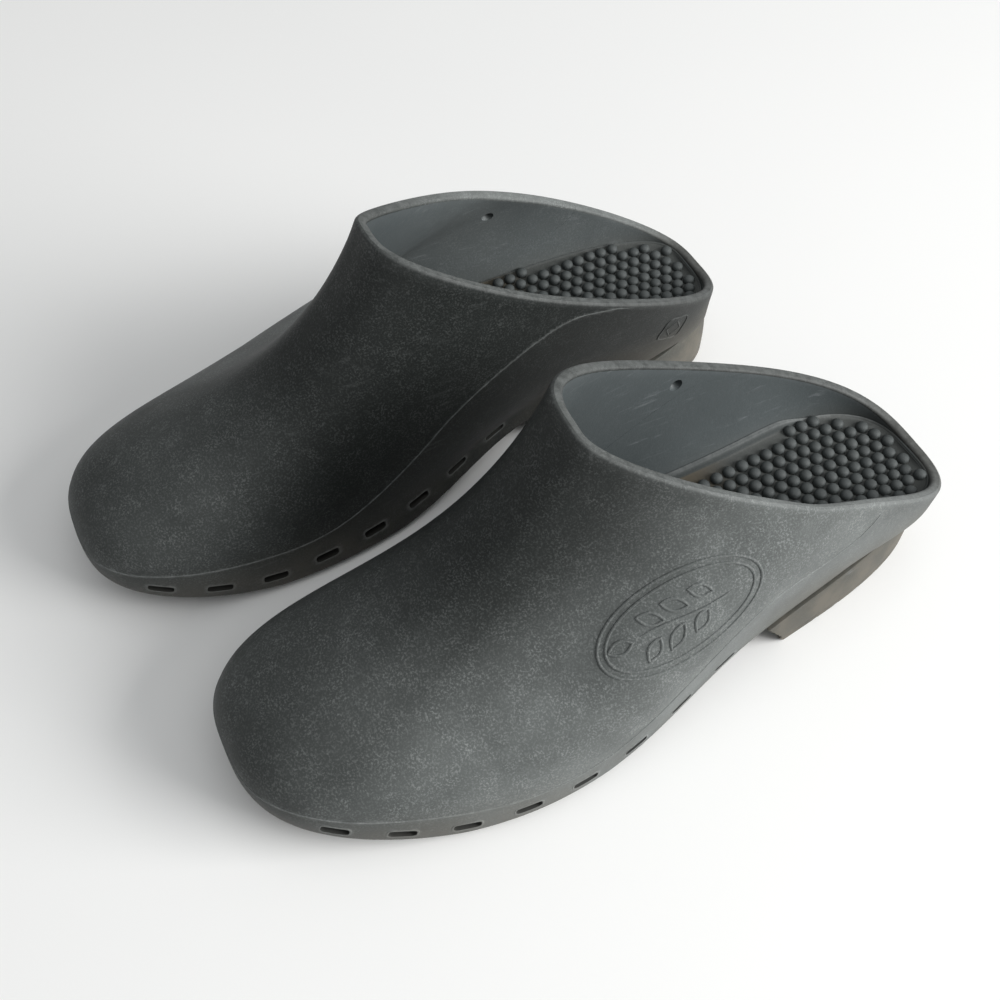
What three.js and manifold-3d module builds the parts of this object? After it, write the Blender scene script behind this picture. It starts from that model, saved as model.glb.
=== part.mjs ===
// A pair of slip-on rubber garden clogs, in millimetres.
//
// Each clog is worked out in its own frame: x runs from the back of the heel to the toe, y to the
// wearer's left and z up from the floor. It is the left clog; the right one is its mirror image.
// The outside of a clog is one surface with two parameters. The angle phi goes round the clog:
// 0 is the back of the heel, a quarter turn the outer (lateral) side, a half turn the toe and
// three quarters the inner (medial) side. The share v goes up the wall, from 0 at the edge of the
// sole to 1 at the rim. Every piece is cut from this surface or fitted to it.

import * as THREE from 'three';
import { mergeVertices } from 'three/addons/utils/BufferGeometryUtils.js';
import Module from 'manifold-3d';

const wasm = await Module();
wasm.setup();

// ---- driving dimensions --------------------------------------------------------------------

// Sole outline: length and half widths, each as [distance from the heel, half width].
const soleLength = 277;
const lateralWidths = [
  [0, 33.4], [47, 34.8], [97, 38], [142, 49.5], [192, 58.7], [237, 59.6], [soleLength, 60.6],
];
const medialWidths = [
  [0, 30.7], [47, 32.7], [97, 26.8], [142, 38.8], [192, 49], [237, 52.7], [soleLength, 55],
];
const toeLean = -7; // how far the toe lies towards the inner side
const outlineRoundness = 0.7; // 1 is an ellipse, less is squarer
// Height of the sole's lower edge, as [distance from the heel, height]. It is never lower than the
// tread under the ball of the foot is deep, so the ball stands flat on the floor.
const edgeHeights = [
  [0, 24.9], [47, 22.3], [85, 16.2], [122, 9.1], [162, 2.3], [187, 1.5], [212, 2.3], [soleLength, 18.4],
];

// Rim of the foot opening: half widths, middle line and heights along its length.
const rimLength = 151;
const rimLateral = [[0, 34.6], [48, 31.4], [98, 30.8], [rimLength, 21.1]];
const rimMedial = [[0, 43.1], [48, 39.7], [98, 37.7], [rimLength, 36.2]];
const rimMiddle = [[0, 4.5], [75, -0.1], [rimLength, -7.4]];
const rimHeights = [[0, 41.4], [50, 71.3], [100, 98.1], [rimLength, 126.6]];
const rimRoundness = 0.65;
const rimTilt = 2.4; // the outer rim lies this much lower at the ends, the inner rim higher

// How the wall leaves the sole and reaches the rim: lengths of its curve's two handles.
const wallShape = {
  toe: { rise: 43.7, bulge: 8.6, lean: 43.3, drop: 93.3 },
  lateral: { rise: 47.7, bulge: 4.5, lean: 3.6, drop: 8.7 },
  medial: { rise: 14, bulge: -12, lean: 3, drop: 42 },
  heel: { rise: 3.4, bulge: 4.5, lean: 1.7, drop: 25.8 },
};

const wallThickness = 4;
const floorThickness = 4;
const partGap = 0.3; // between pieces that touch
const footbedClearance = 0.8; // between the footbed's edge and the wall
const tightestClearance = 0.09; // what is left of it where flat facets cut a curve short

// Line where the upper meets the sole unit, as [distance from the heel, height] on each side.
const lateralSeam = [
  [40, 125], [47, 67], [54, 58.5], [69, 53.5], [98, 53], [112, 47.5], [130, 36], [151, 24],
  [168, 19.2], [200, 18.2], [243, 23.3], [266, 27], [soleLength + 23, 29],
];
const medialSeam = [
  [46, 140], [51, 78], [83, 80], [92, 78], [114, 66.5], [135, 52.7], [152, 38.8], [168, 28.6],
  [184, 22.4], [200, 20.5], [221, 22.2], [256, 26.3], [266, 27], [soleLength + 23, 29],
];

// Footbed: height of its top along the middle, its thickness and how far its edges curl up.
const footbedHeights = [
  [0, 36], [40, 39], [97, 34], [150, 22.5], [195, 17], [237, 21], [soleLength, 32],
];
const footbedThickness = 5;
const footbedCurl = 3;

// Drain slots through the sole's side wall, counted from the toe along the outline.
const slotsPerSide = 8;
const slotSize = { length: 9.6, height: 3.5, depth: 16 };
const slotLift = 7.4; // from the sole's lower edge to the slot's middle
const slotStart = { lateral: 48.2, medial: 42 };
const slotPitch = { lateral: 21.6, medial: 20.6 };

// Ribs across the sole's floor, which carry the footbed.
const ribPlaces = [30, 75, 120, 161, 203, 245];
const ribThickness = 3;
const ribFooting = 1; // how far a rib runs into the floor and the wall

// Heel block and the two treads.
const heelFrontTop = 86;
const heelFrontBottom = 76;
const heelFlare = 2.5; // how much wider the heel is at the floor than at the sole
const heelTreadThickness = 4;
const foreTreadThickness = 2.1;
const foreTreadBack = 132;
const foreTreadInset = 4;
const groove = { width: 3, depth: 1.2, pitch: 11 };
const foreGrooves = 9;
const foreGrooveStart = 146;
const heelGrooves = 4;
const heelGrooveStart = 26;

// Where the right clog stands beside the left one.
const clogSpacing = 118.5;
const rightClogForward = 21;
const rightClogTurn = THREE.MathUtils.degToRad(-0.8);

// How finely the curved surfaces are cut into flat facets.
const facetLength = 9.9; // of the sole's length that each pair of facets takes
const stations = 2 * Math.round(soleLength / facetLength); // round the clog
const wallRows = 9; // up the wall
const crossSteps = 6; // across the footbed
const heelRows = 14;

// ---- curves and surfaces -------------------------------------------------------------------

// Natural cubic spline through the knots, held level past both ends.
function spline(knots) {
  const n = knots.length;
  const gap = knots.slice(1).map((k, i) => k[0] - knots[i][0]);
  const slope = gap.map((h, i) => (knots[i + 1][1] - knots[i][1]) / h);
  // Tridiagonal sweep for the second derivatives, which are zero at both ends.
  const ratio = new Array(n).fill(0);
  const bend = new Array(n).fill(0);
  for (let i = 1; i < n - 1; i++) {
    const pivot = 2 * (gap[i - 1] + gap[i]) - gap[i - 1] * ratio[i - 1];
    ratio[i] = gap[i] / pivot;
    bend[i] = (6 * (slope[i] - slope[i - 1]) - gap[i - 1] * bend[i - 1]) / pivot;
  }
  for (let i = n - 2; i > 0; i--) bend[i] -= ratio[i] * bend[i + 1];
  return (x) => {
    const at = THREE.MathUtils.clamp(x, knots[0][0], knots[n - 1][0]);
    let i = 0;
    while (i < n - 2 && at > knots[i + 1][0]) i++;
    const a = (knots[i + 1][0] - at) / gap[i];
    const b = 1 - a;
    const curve = ((a ** 3 - a) * bend[i] + (b ** 3 - b) * bend[i + 1]) * (gap[i] ** 2 / 6);
    return a * knots[i][1] + b * knots[i + 1][1] + curve;
  };
}

const lateralWidth = spline(lateralWidths);
const medialWidth = spline(medialWidths);
const edgeCurve = spline(edgeHeights);
const rimLateralWidth = spline(rimLateral);
const rimMedialWidth = spline(rimMedial);
const rimMiddleLine = spline(rimMiddle);
const rimHeight = spline(rimHeights);
const footbedHeight = spline(footbedHeights);

const treadDepth = foreTreadThickness + partGap;
const edgeHeight = (x) => Math.max(treadDepth, edgeCurve(x));
const signedPower = (s, k) => Math.sign(s) * Math.abs(s) ** k;
const smooth = (t) => THREE.MathUtils.smoothstep(t, 0, 1);

// Sole outline in plan: x runs as half a cosine wave, y as a power of the sine.
function outline(phi) {
  const x = (soleLength / 2) * (1 - Math.cos(phi));
  const half = Math.sin(phi) >= 0 ? lateralWidth(x) : medialWidth(x);
  const middle = toeLean * (x / soleLength) ** 2;
  return new THREE.Vector2(x, middle + half * signedPower(Math.sin(phi), outlineRoundness));
}

function rim(phi) {
  const x = (rimLength / 2) * (1 - Math.cos(phi));
  const s = Math.sin(phi);
  const half = s >= 0 ? rimLateralWidth(x) : rimMedialWidth(x);
  const y = rimMiddleLine(x) + half * signedPower(s, rimRoundness);
  return new THREE.Vector3(x, y, rimHeight(x) - rimTilt * (1 + Math.cos(2 * phi)) * s);
}

// Direction that points away from the clog, square to the outline in plan.
function outwards(phi) {
  const step = 1e-3;
  const t = outline(phi + step).sub(outline(phi - step)).normalize();
  return new THREE.Vector2(-t.y, t.x);
}

// The outside of the wall: a cubic Bezier curve from the outline to the rim at each angle, whose
// handles are blended from those of the toe, the two sides and the heel.
function wall(phi, v) {
  const share = (1 - Math.cos(phi)) / 2;
  const toe = smooth(2 * share - 1);
  const heel = smooth(1 - 2 * share);
  const side = 1 - toe - heel;
  const lateral = 0.5 + 0.5 * signedPower(Math.sin(phi), 0.5);
  const blend = (name) =>
    toe * wallShape.toe[name] +
    heel * wallShape.heel[name] +
    side * (lateral * wallShape.lateral[name] + (1 - lateral) * wallShape.medial[name]);
  const foot = outline(phi);
  const out = outwards(phi).multiplyScalar(blend('bulge'));
  const start = new THREE.Vector3(foot.x, foot.y, edgeHeight(foot.x));
  const end = rim(phi);
  const forward = toe * wallShape.toe.lean + heel * wallShape.heel.lean;
  const sideways = signedPower(Math.sin(phi), 0.5) * side *
    (lateral * wallShape.lateral.lean - (1 - lateral) * wallShape.medial.lean);
  const first = start.clone().add(new THREE.Vector3(out.x, out.y, blend('rise')));
  const second = end.clone().add(new THREE.Vector3(forward, sideways, -blend('drop')));
  return new THREE.CubicBezierCurve3(start, first, second, end).getPoint(v);
}

// A point this far inside the wall, square to its outside.
function inside(phi, v, depth) {
  const step = 1e-3;
  const round = wall(phi + step, v).sub(wall(phi - step, v));
  const up = wall(phi, Math.min(1, v + step)).sub(wall(phi, Math.max(0, v - step)));
  const normal = up.cross(round).normalize();
  return wall(phi, v).addScaledVector(normal, -depth);
}

// Share v at which the surface this far inside the wall reaches a height that depends on x.
function shareAt(phi, depth, height) {
  let low = 0;
  let high = 1;
  for (let i = 0; i < 30; i++) {
    const v = (low + high) / 2;
    const p = inside(phi, v, depth);
    if (p.z < height(p.x)) low = v;
    else high = v;
  }
  return (low + high) / 2;
}

// ---- closed solids -------------------------------------------------------------------------

// Collects the flat faces of one closed body.
class Skin {
  positions = [];

  triangle(a, b, c) {
    if (a.distanceTo(b) < 1e-4 || b.distanceTo(c) < 1e-4 || c.distanceTo(a) < 1e-4) return;
    for (const p of [a, b, c]) this.positions.push(p.x, p.y, p.z);
  }

  quad(a, b, c, d) {
    this.triangle(a, b, c);
    this.triangle(a, c, d);
  }

  // Faces between two rows of points, which run the same way.
  strip(rowA, rowB) {
    for (let i = 0; i + 1 < rowA.length; i++) this.quad(rowA[i], rowA[i + 1], rowB[i + 1], rowB[i]);
  }

  geometry() {
    const loose = new THREE.BufferGeometry();
    loose.setAttribute('position', new THREE.Float32BufferAttribute(this.positions, 3));
    return mergeVertices(loose, 1e-4);
  }
}

function toSolid(geometry) {
  const bare = geometry.clone();
  bare.deleteAttribute('normal');
  bare.deleteAttribute('uv');
  const merged = mergeVertices(bare, 1e-4);
  const vertProperties = merged.attributes.position.array;
  const triVerts = new Uint32Array(merged.index.array);
  const solid = new wasm.Manifold(new wasm.Mesh({ numProp: 3, vertProperties, triVerts }));
  if (solid.volume() > 0) return solid;
  for (let i = 0; i < triVerts.length; i += 3) {
    [triVerts[i + 1], triVerts[i + 2]] = [triVerts[i + 2], triVerts[i + 1]];
  }
  return new wasm.Manifold(new wasm.Mesh({ numProp: 3, vertProperties, triVerts }));
}

function toGeometry(solid) {
  const mesh = solid.getMesh();
  const geometry = new THREE.BufferGeometry();
  geometry.setAttribute('position', new THREE.Float32BufferAttribute(mesh.vertProperties, 3));
  geometry.setIndex(Array.from(mesh.triVerts));
  return geometry;
}

const ringAngles = Array.from({ length: stations + 1 }, (_, i) => (2 * Math.PI * (i % stations)) / stations);

// Lines straight across a ring, from its outer side to its inner side, at each station.
function crossings(ring, steps, lift = () => 0) {
  const rows = [];
  for (let i = 0; i <= stations / 2; i++) {
    const a = ring[i];
    const b = ring[(stations - i) % stations];
    rows.push(Array.from({ length: steps + 1 }, (_, j) => {
      const p = a.clone().lerp(b, j / steps);
      if (a.distanceTo(b) > 1) p.z += lift(j / steps);
      return p;
    }));
  }
  return rows;
}

function coverRing(skin, ring, steps, lift, facingUp) {
  const rows = crossings(ring, steps, lift);
  for (let i = 0; i + 1 < rows.length; i++) {
    if (facingUp) skin.strip(rows[i], rows[i + 1]);
    else skin.strip(rows[i + 1], rows[i]);
  }
}

// A plate between two rings of points, the lower one flat and the upper one lifted across by a rule.
function plate(lower, upper, lift = () => 0) {
  const skin = new Skin();
  coverRing(skin, lower, 1, () => 0, false);
  skin.strip(upper, lower);
  coverRing(skin, upper, crossSteps, lift, true);
  return toSolid(skin.geometry());
}

function boxAt(sizes, place, turn = 0) {
  const box = new THREE.BoxGeometry(...sizes);
  box.rotateZ(turn);
  box.translate(place.x, place.y, place.z);
  return toSolid(box);
}

// ---- sole unit and upper -------------------------------------------------------------------

const floorTop = (x) => edgeHeight(x) + floorThickness;
const footbedUnder = (x) => footbedHeight(x) - footbedThickness;

// Rings of points this far inside the wall, from the sole's floor up to the rim.
function innerRings(depth) {
  const lowest = ringAngles.map((phi) => shareAt(phi, depth, floorTop));
  return Array.from({ length: wallRows + 1 }, (_, row) => {
    const t = row / wallRows;
    return ringAngles.map((phi, i) => inside(phi, lowest[i] + (1 - lowest[i]) * t, depth));
  });
}

// The whole moulded shell, open at the rim: outer wall, underside, inner wall and inner floor.
function shell() {
  const skin = new Skin();
  const outer = [];
  const inner = innerRings(wallThickness);
  for (let row = 0; row <= wallRows; row++) {
    outer.push(ringAngles.map((phi) => wall(phi, row / wallRows)));
  }
  coverRing(skin, outer[0], 1, () => 0, false);
  coverRing(skin, inner[0], 1, () => 0, true);
  for (let row = 0; row < wallRows; row++) {
    skin.strip(outer[row + 1], outer[row]);
    skin.strip(inner[row], inner[row + 1]);
  }
  skin.strip(inner[wallRows], outer[wallRows]);
  return toSolid(skin.geometry());
}

// Ribs that stand on the floor inside the shell and end just under the footbed.
function ribs() {
  const depth = wallThickness - ribFooting;
  const ringAt = (height) => ringAngles.map((phi) => inside(phi, shareAt(phi, depth, height), depth));
  const space = plate(
    ringAt((x) => floorTop(x) - ribFooting),
    ringAt((x) => footbedUnder(x) - partGap),
  );
  const slabs = ribPlaces.map((x) => boxAt([ribThickness, 200, 200], { x, y: 0, z: 0 }));
  return slabs.reduce((all, slab) => all.add(slab)).intersect(space);
}

// Points along one half of the outline, from the toe back, at equal distances.
function slotAngles(side) {
  const steps = 400;
  const sign = side === 'lateral' ? -1 : 1;
  const angles = [];
  let travelled = 0;
  let next = slotStart[side];
  let before = outline(Math.PI);
  for (let i = 1; i <= steps && angles.length < slotsPerSide; i++) {
    const phi = Math.PI + (sign * Math.PI * i) / steps;
    const here = outline(phi);
    travelled += here.distanceTo(before);
    before = here;
    if (travelled >= next) {
      angles.push(phi);
      next += slotPitch[side];
    }
  }
  return angles;
}

function slotCutters() {
  const { length, height, depth } = slotSize;
  const cutters = [];
  for (const side of ['lateral', 'medial']) {
    for (const phi of slotAngles(side)) {
      const middle = wall(phi, shareAt(phi, 0, (x) => edgeHeight(x) + slotLift));
      const out = outwards(phi);
      cutters.push(boxAt([depth, length, height], middle, Math.atan2(out.y, out.x)));
    }
  }
  return cutters;
}

// Everything above the seam line on both sides, moved up and forward by a shift.
function aboveSeam(shift) {
  const ceiling = 300;
  const half = (seam, turnedBack) => {
    const shape = new THREE.Shape();
    shape.moveTo(seam[0][0] + shift, ceiling);
    for (const [x, z] of seam) shape.lineTo(x + shift, z + shift);
    shape.lineTo(seam.at(-1)[0] + shift, ceiling);
    const block = new THREE.ExtrudeGeometry(shape, { depth: 100, bevelEnabled: false });
    block.rotateX(Math.PI / 2);
    if (turnedBack) block.translate(0, 100, 0);
    return toSolid(block);
  };
  return half(lateralSeam, true).add(half(medialSeam, false));
}

// ---- footbed, heel and treads --------------------------------------------------------------

// The space inside the shell, which keeps the tightest clearance to its wall.
function room() {
  const skin = new Skin();
  const rings = innerRings(wallThickness + tightestClearance);
  coverRing(skin, rings[0], 1, () => 0, false);
  for (let row = 0; row < wallRows; row++) skin.strip(rings[row + 1], rings[row]);
  coverRing(skin, rings[wallRows], 1, () => 0, true);
  return toSolid(skin.geometry());
}

function footbed() {
  const depth = wallThickness + footbedClearance;
  const ringAt = (height) => ringAngles.map((phi) => inside(phi, shareAt(phi, depth, height), depth));
  const sag = (share) => footbedCurl * ((2 * share - 1) ** 2 - 1);
  return plate(ringAt(footbedUnder), ringAt((x) => footbedHeight(x) + footbedCurl), sag).intersect(room());
}

const angleAt = (x) => Math.acos(1 - (2 * x) / soleLength);

// A block under the sole between two angles: at each row a line across it, at the top and below.
function underBlock(rows, topPoint, lowPoint) {
  const skin = new Skin();
  const ends = [1, -1];
  const line = (point, i) => ends.map((side) => point(i / rows, side));
  for (let i = 0; i < rows; i++) {
    const [topA, topB] = [line(topPoint, i), line(topPoint, i + 1)];
    const [lowA, lowB] = [line(lowPoint, i), line(lowPoint, i + 1)];
    skin.strip(topA, topB);
    skin.strip(lowB, lowA);
    skin.quad(topA[0], topB[0], lowB[0], lowA[0]);
    skin.quad(topB[1], topA[1], lowA[1], lowB[1]);
  }
  for (const i of [0, rows]) {
    const [top, low] = [line(topPoint, i), line(lowPoint, i)];
    if (i === 0) skin.quad(top[1], top[0], low[0], low[1]);
    else skin.quad(top[0], top[1], low[1], low[0]);
  }
  return toSolid(skin.geometry());
}

// Point of the outline on one side, moved outwards and set to a height.
function edgePoint(phi, side, move, height) {
  const angle = side > 0 ? phi : 2 * Math.PI - phi;
  const p = outline(angle).addScaledVector(outwards(angle), move);
  return new THREE.Vector3(p.x, p.y, height(p.x));
}

// The heel narrows from the floor up to the sole, so its outline moves with the height.
function heelSlice(bottom, top) {
  const ledge = edgeHeight(heelFrontTop);
  const frontAt = (z) => THREE.MathUtils.mapLinear(z, 0, ledge, heelFrontBottom, heelFrontTop);
  const flareAt = (z) => THREE.MathUtils.mapLinear(z, 0, edgeHeight(0), heelFlare, 0);
  const point = (z) => (t, side) => {
    const level = typeof z === 'number' ? z : ledge;
    const flare = flareAt(typeof z === 'number' ? z : edgeHeight(0));
    return edgePoint(t * angleAt(frontAt(level)), side, flare, typeof z === 'number' ? () => z : z);
  };
  return underBlock(heelRows, point(top), point(bottom));
}

function grooves(count, start) {
  const cutters = [];
  for (let i = 0; i < count; i++) {
    const x = start + i * groove.pitch;
    const under = Math.max(0, edgeHeight(x) - treadDepth);
    const top = (x < foreTreadBack ? 0 : under) + groove.depth;
    cutters.push(boxAt([groove.width, 200, 20], { x, y: 0, z: top - 10 }));
  }
  return cutters;
}

function foreTread() {
  const first = angleAt(foreTreadBack);
  const point = (height) => (t, side) =>
    edgePoint(first + t * (Math.PI - first), side, -foreTreadInset, height);
  const rows = stations / 2;
  const top = point((x) => edgeHeight(x) - partGap);
  return underBlock(rows, top, point((x) => edgeHeight(x) - treadDepth));
}

// ---- one clog ------------------------------------------------------------------------------

const rubber = { upper: 0x3a3d3c, sole: 0x444340, footbed: 0x2b2d2d, heel: 0x4b4843, tread: 0x2e2f2e };
const finish = (color, roughness) => new THREE.MeshStandardMaterial({ color, roughness, metalness: 0 });

const cut = (solid, cutters) => cutters.reduce((left, cutter) => left.subtract(cutter), solid);

const whole = shell();
const pieces = {
  upper_shell: [whole.intersect(aboveSeam(partGap)), finish(rubber.upper, 0.62)],
  sole_unit: [cut(whole.subtract(aboveSeam(0)).add(ribs()), slotCutters()), finish(rubber.sole, 0.68)],
  massage_footbed: [footbed(), finish(rubber.footbed, 0.78)],
  heel_block: [
    heelSlice(heelTreadThickness + partGap, (x) => edgeHeight(x) - partGap),
    finish(rubber.heel, 0.7),
  ],
  heel_tread: [
    cut(heelSlice(0, heelTreadThickness), grooves(heelGrooves, heelGrooveStart)),
    finish(rubber.tread, 0.75),
  ],
  forefoot_tread: [cut(foreTread(), grooves(foreGrooves, foreGrooveStart)), finish(rubber.tread, 0.75)],
};

// The same shape with y turned round, and its faces turned so that they still point out.
function mirrored(geometry) {
  const copy = geometry.clone().scale(1, -1, 1);
  const corners = copy.index.array;
  for (let i = 0; i < corners.length; i += 3) {
    [corners[i + 1], corners[i + 2]] = [corners[i + 2], corners[i + 1]];
  }
  return copy;
}

function clog(side) {
  const group = new THREE.Group();
  for (const [name, [solid, material]] of Object.entries(pieces)) {
    const geometry = toGeometry(solid);
    const mesh = new THREE.Mesh(side === 'left' ? geometry : mirrored(geometry), material.clone());
    mesh.name = `${side}_${name}`;
    group.add(mesh);
  }
  return group;
}

// ---- the pair ------------------------------------------------------------------------------

const pair = new THREE.Group();
const left = clog('left');
const right = clog('right');
right.position.set(rightClogForward, -clogSpacing, 0);
right.rotation.z = rightClogTurn;
pair.add(left, right);

// The toes point along -Y, and the origin is on the floor under the middle of the pair.
pair.rotation.z = -Math.PI / 2;
pair.updateMatrixWorld(true);
const bounds = new THREE.Box3().setFromObject(pair, true);
const middle = bounds.getCenter(new THREE.Vector3());
pair.position.set(-middle.x, -middle.y, -bounds.min.z);

export default pair;
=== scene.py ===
"""Looks of a pair of moulded rubber garden clogs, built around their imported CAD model.

Both clogs share one form, worked out in millimetres in a clog's own frame: x runs from the back of
the heel to the toe, y to the wearer's left and z up from the floor. It is the left clog, and the
right one is its mirror image. Points become metres in the model's frame when a mesh is made.
"""

import logging
import math
from dataclasses import dataclass
from enum import Enum
from typing import Any, Callable, Dict, List, Optional, Sequence, Tuple

import bmesh
import bpy
import numpy as np
from mathutils import Matrix, Vector


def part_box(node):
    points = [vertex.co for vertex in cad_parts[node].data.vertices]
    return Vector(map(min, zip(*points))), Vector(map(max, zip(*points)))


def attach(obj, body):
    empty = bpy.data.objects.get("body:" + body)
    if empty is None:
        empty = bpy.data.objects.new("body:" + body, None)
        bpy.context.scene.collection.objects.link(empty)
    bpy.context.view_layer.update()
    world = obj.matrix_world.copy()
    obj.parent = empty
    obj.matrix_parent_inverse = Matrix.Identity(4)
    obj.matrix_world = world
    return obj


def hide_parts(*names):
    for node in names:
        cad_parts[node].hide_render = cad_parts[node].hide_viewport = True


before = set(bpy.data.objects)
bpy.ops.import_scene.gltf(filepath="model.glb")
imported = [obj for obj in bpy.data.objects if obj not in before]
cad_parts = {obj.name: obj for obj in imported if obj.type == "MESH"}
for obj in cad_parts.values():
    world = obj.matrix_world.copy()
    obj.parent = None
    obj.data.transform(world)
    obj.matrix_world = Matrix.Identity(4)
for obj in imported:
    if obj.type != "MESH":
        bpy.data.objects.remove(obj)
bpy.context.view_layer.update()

log = logging.getLogger("clogs")

MM = 0.001
Array = np.ndarray
Knots = Sequence[Tuple[float, float]]
Colour = Tuple[float, float, float]


# ---- curves --------------------------------------------------------------------------------


class Spline:
    """A natural cubic spline through knots, held level past both ends."""

    def __init__(self, knots: Knots) -> None:
        """Solves for the second derivatives, which are zero at both ends.

        Args:
            knots: pairs of place and value, in rising order of place.
        """
        self.x, self.y = (np.array(column, float) for column in zip(*knots))
        self.gap = np.diff(self.x)
        count = len(self.x)
        system = np.eye(count)
        right = np.zeros(count)
        slope = np.diff(self.y) / self.gap
        for i in range(1, count - 1):
            system[i, i - 1:i + 2] = self.gap[i - 1], 2 * (self.gap[i - 1] + self.gap[i]), self.gap[i]
            right[i] = 6 * (slope[i] - slope[i - 1])
        self.bend = np.linalg.solve(system, right)

    def __call__(self, place: Array) -> Array:
        """Values at places: the blend of the two nearest knots plus their bending terms.

        Args:
            place: any array of places.

        Returns:
            The values, in the same shape.
        """
        at = np.clip(place, self.x[0], self.x[-1])
        i = np.clip(np.searchsorted(self.x, at) - 1, 0, len(self.gap) - 1)
        a = (self.x[i + 1] - at) / self.gap[i]
        b = 1 - a
        bending = (a ** 3 - a) * self.bend[i] + (b ** 3 - b) * self.bend[i + 1]
        return a * self.y[i] + b * self.y[i + 1] + bending * self.gap[i] ** 2 / 6


def smooth(t: Array) -> Array:
    """Smooth step from 0 to 1: three times the square less twice the cube."""
    t = np.clip(t, 0, 1)
    return t * t * (3 - 2 * t)


def signed_power(s: Array, k: float) -> Array:
    """The k-th power of the size of s, with the sign of s."""
    return np.sign(s) * np.abs(s) ** k


def unit(v: Array) -> Array:
    """Vectors scaled to length 1."""
    return v / np.maximum(np.linalg.norm(v, axis=-1, keepdims=True), 1e-12)


def vec(*parts: Any) -> Array:
    """Stacks coordinates, spread to one shape, into vectors."""
    return np.stack(np.broadcast_arrays(*parts), -1)


# ---- the clog's form -----------------------------------------------------------------------


@dataclass(frozen=True)
class WallHandles:
    """How a stretch of the wall leaves the sole and reaches the rim, in millimetres."""

    rise: float
    bulge: float
    lean: float
    drop: float


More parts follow.
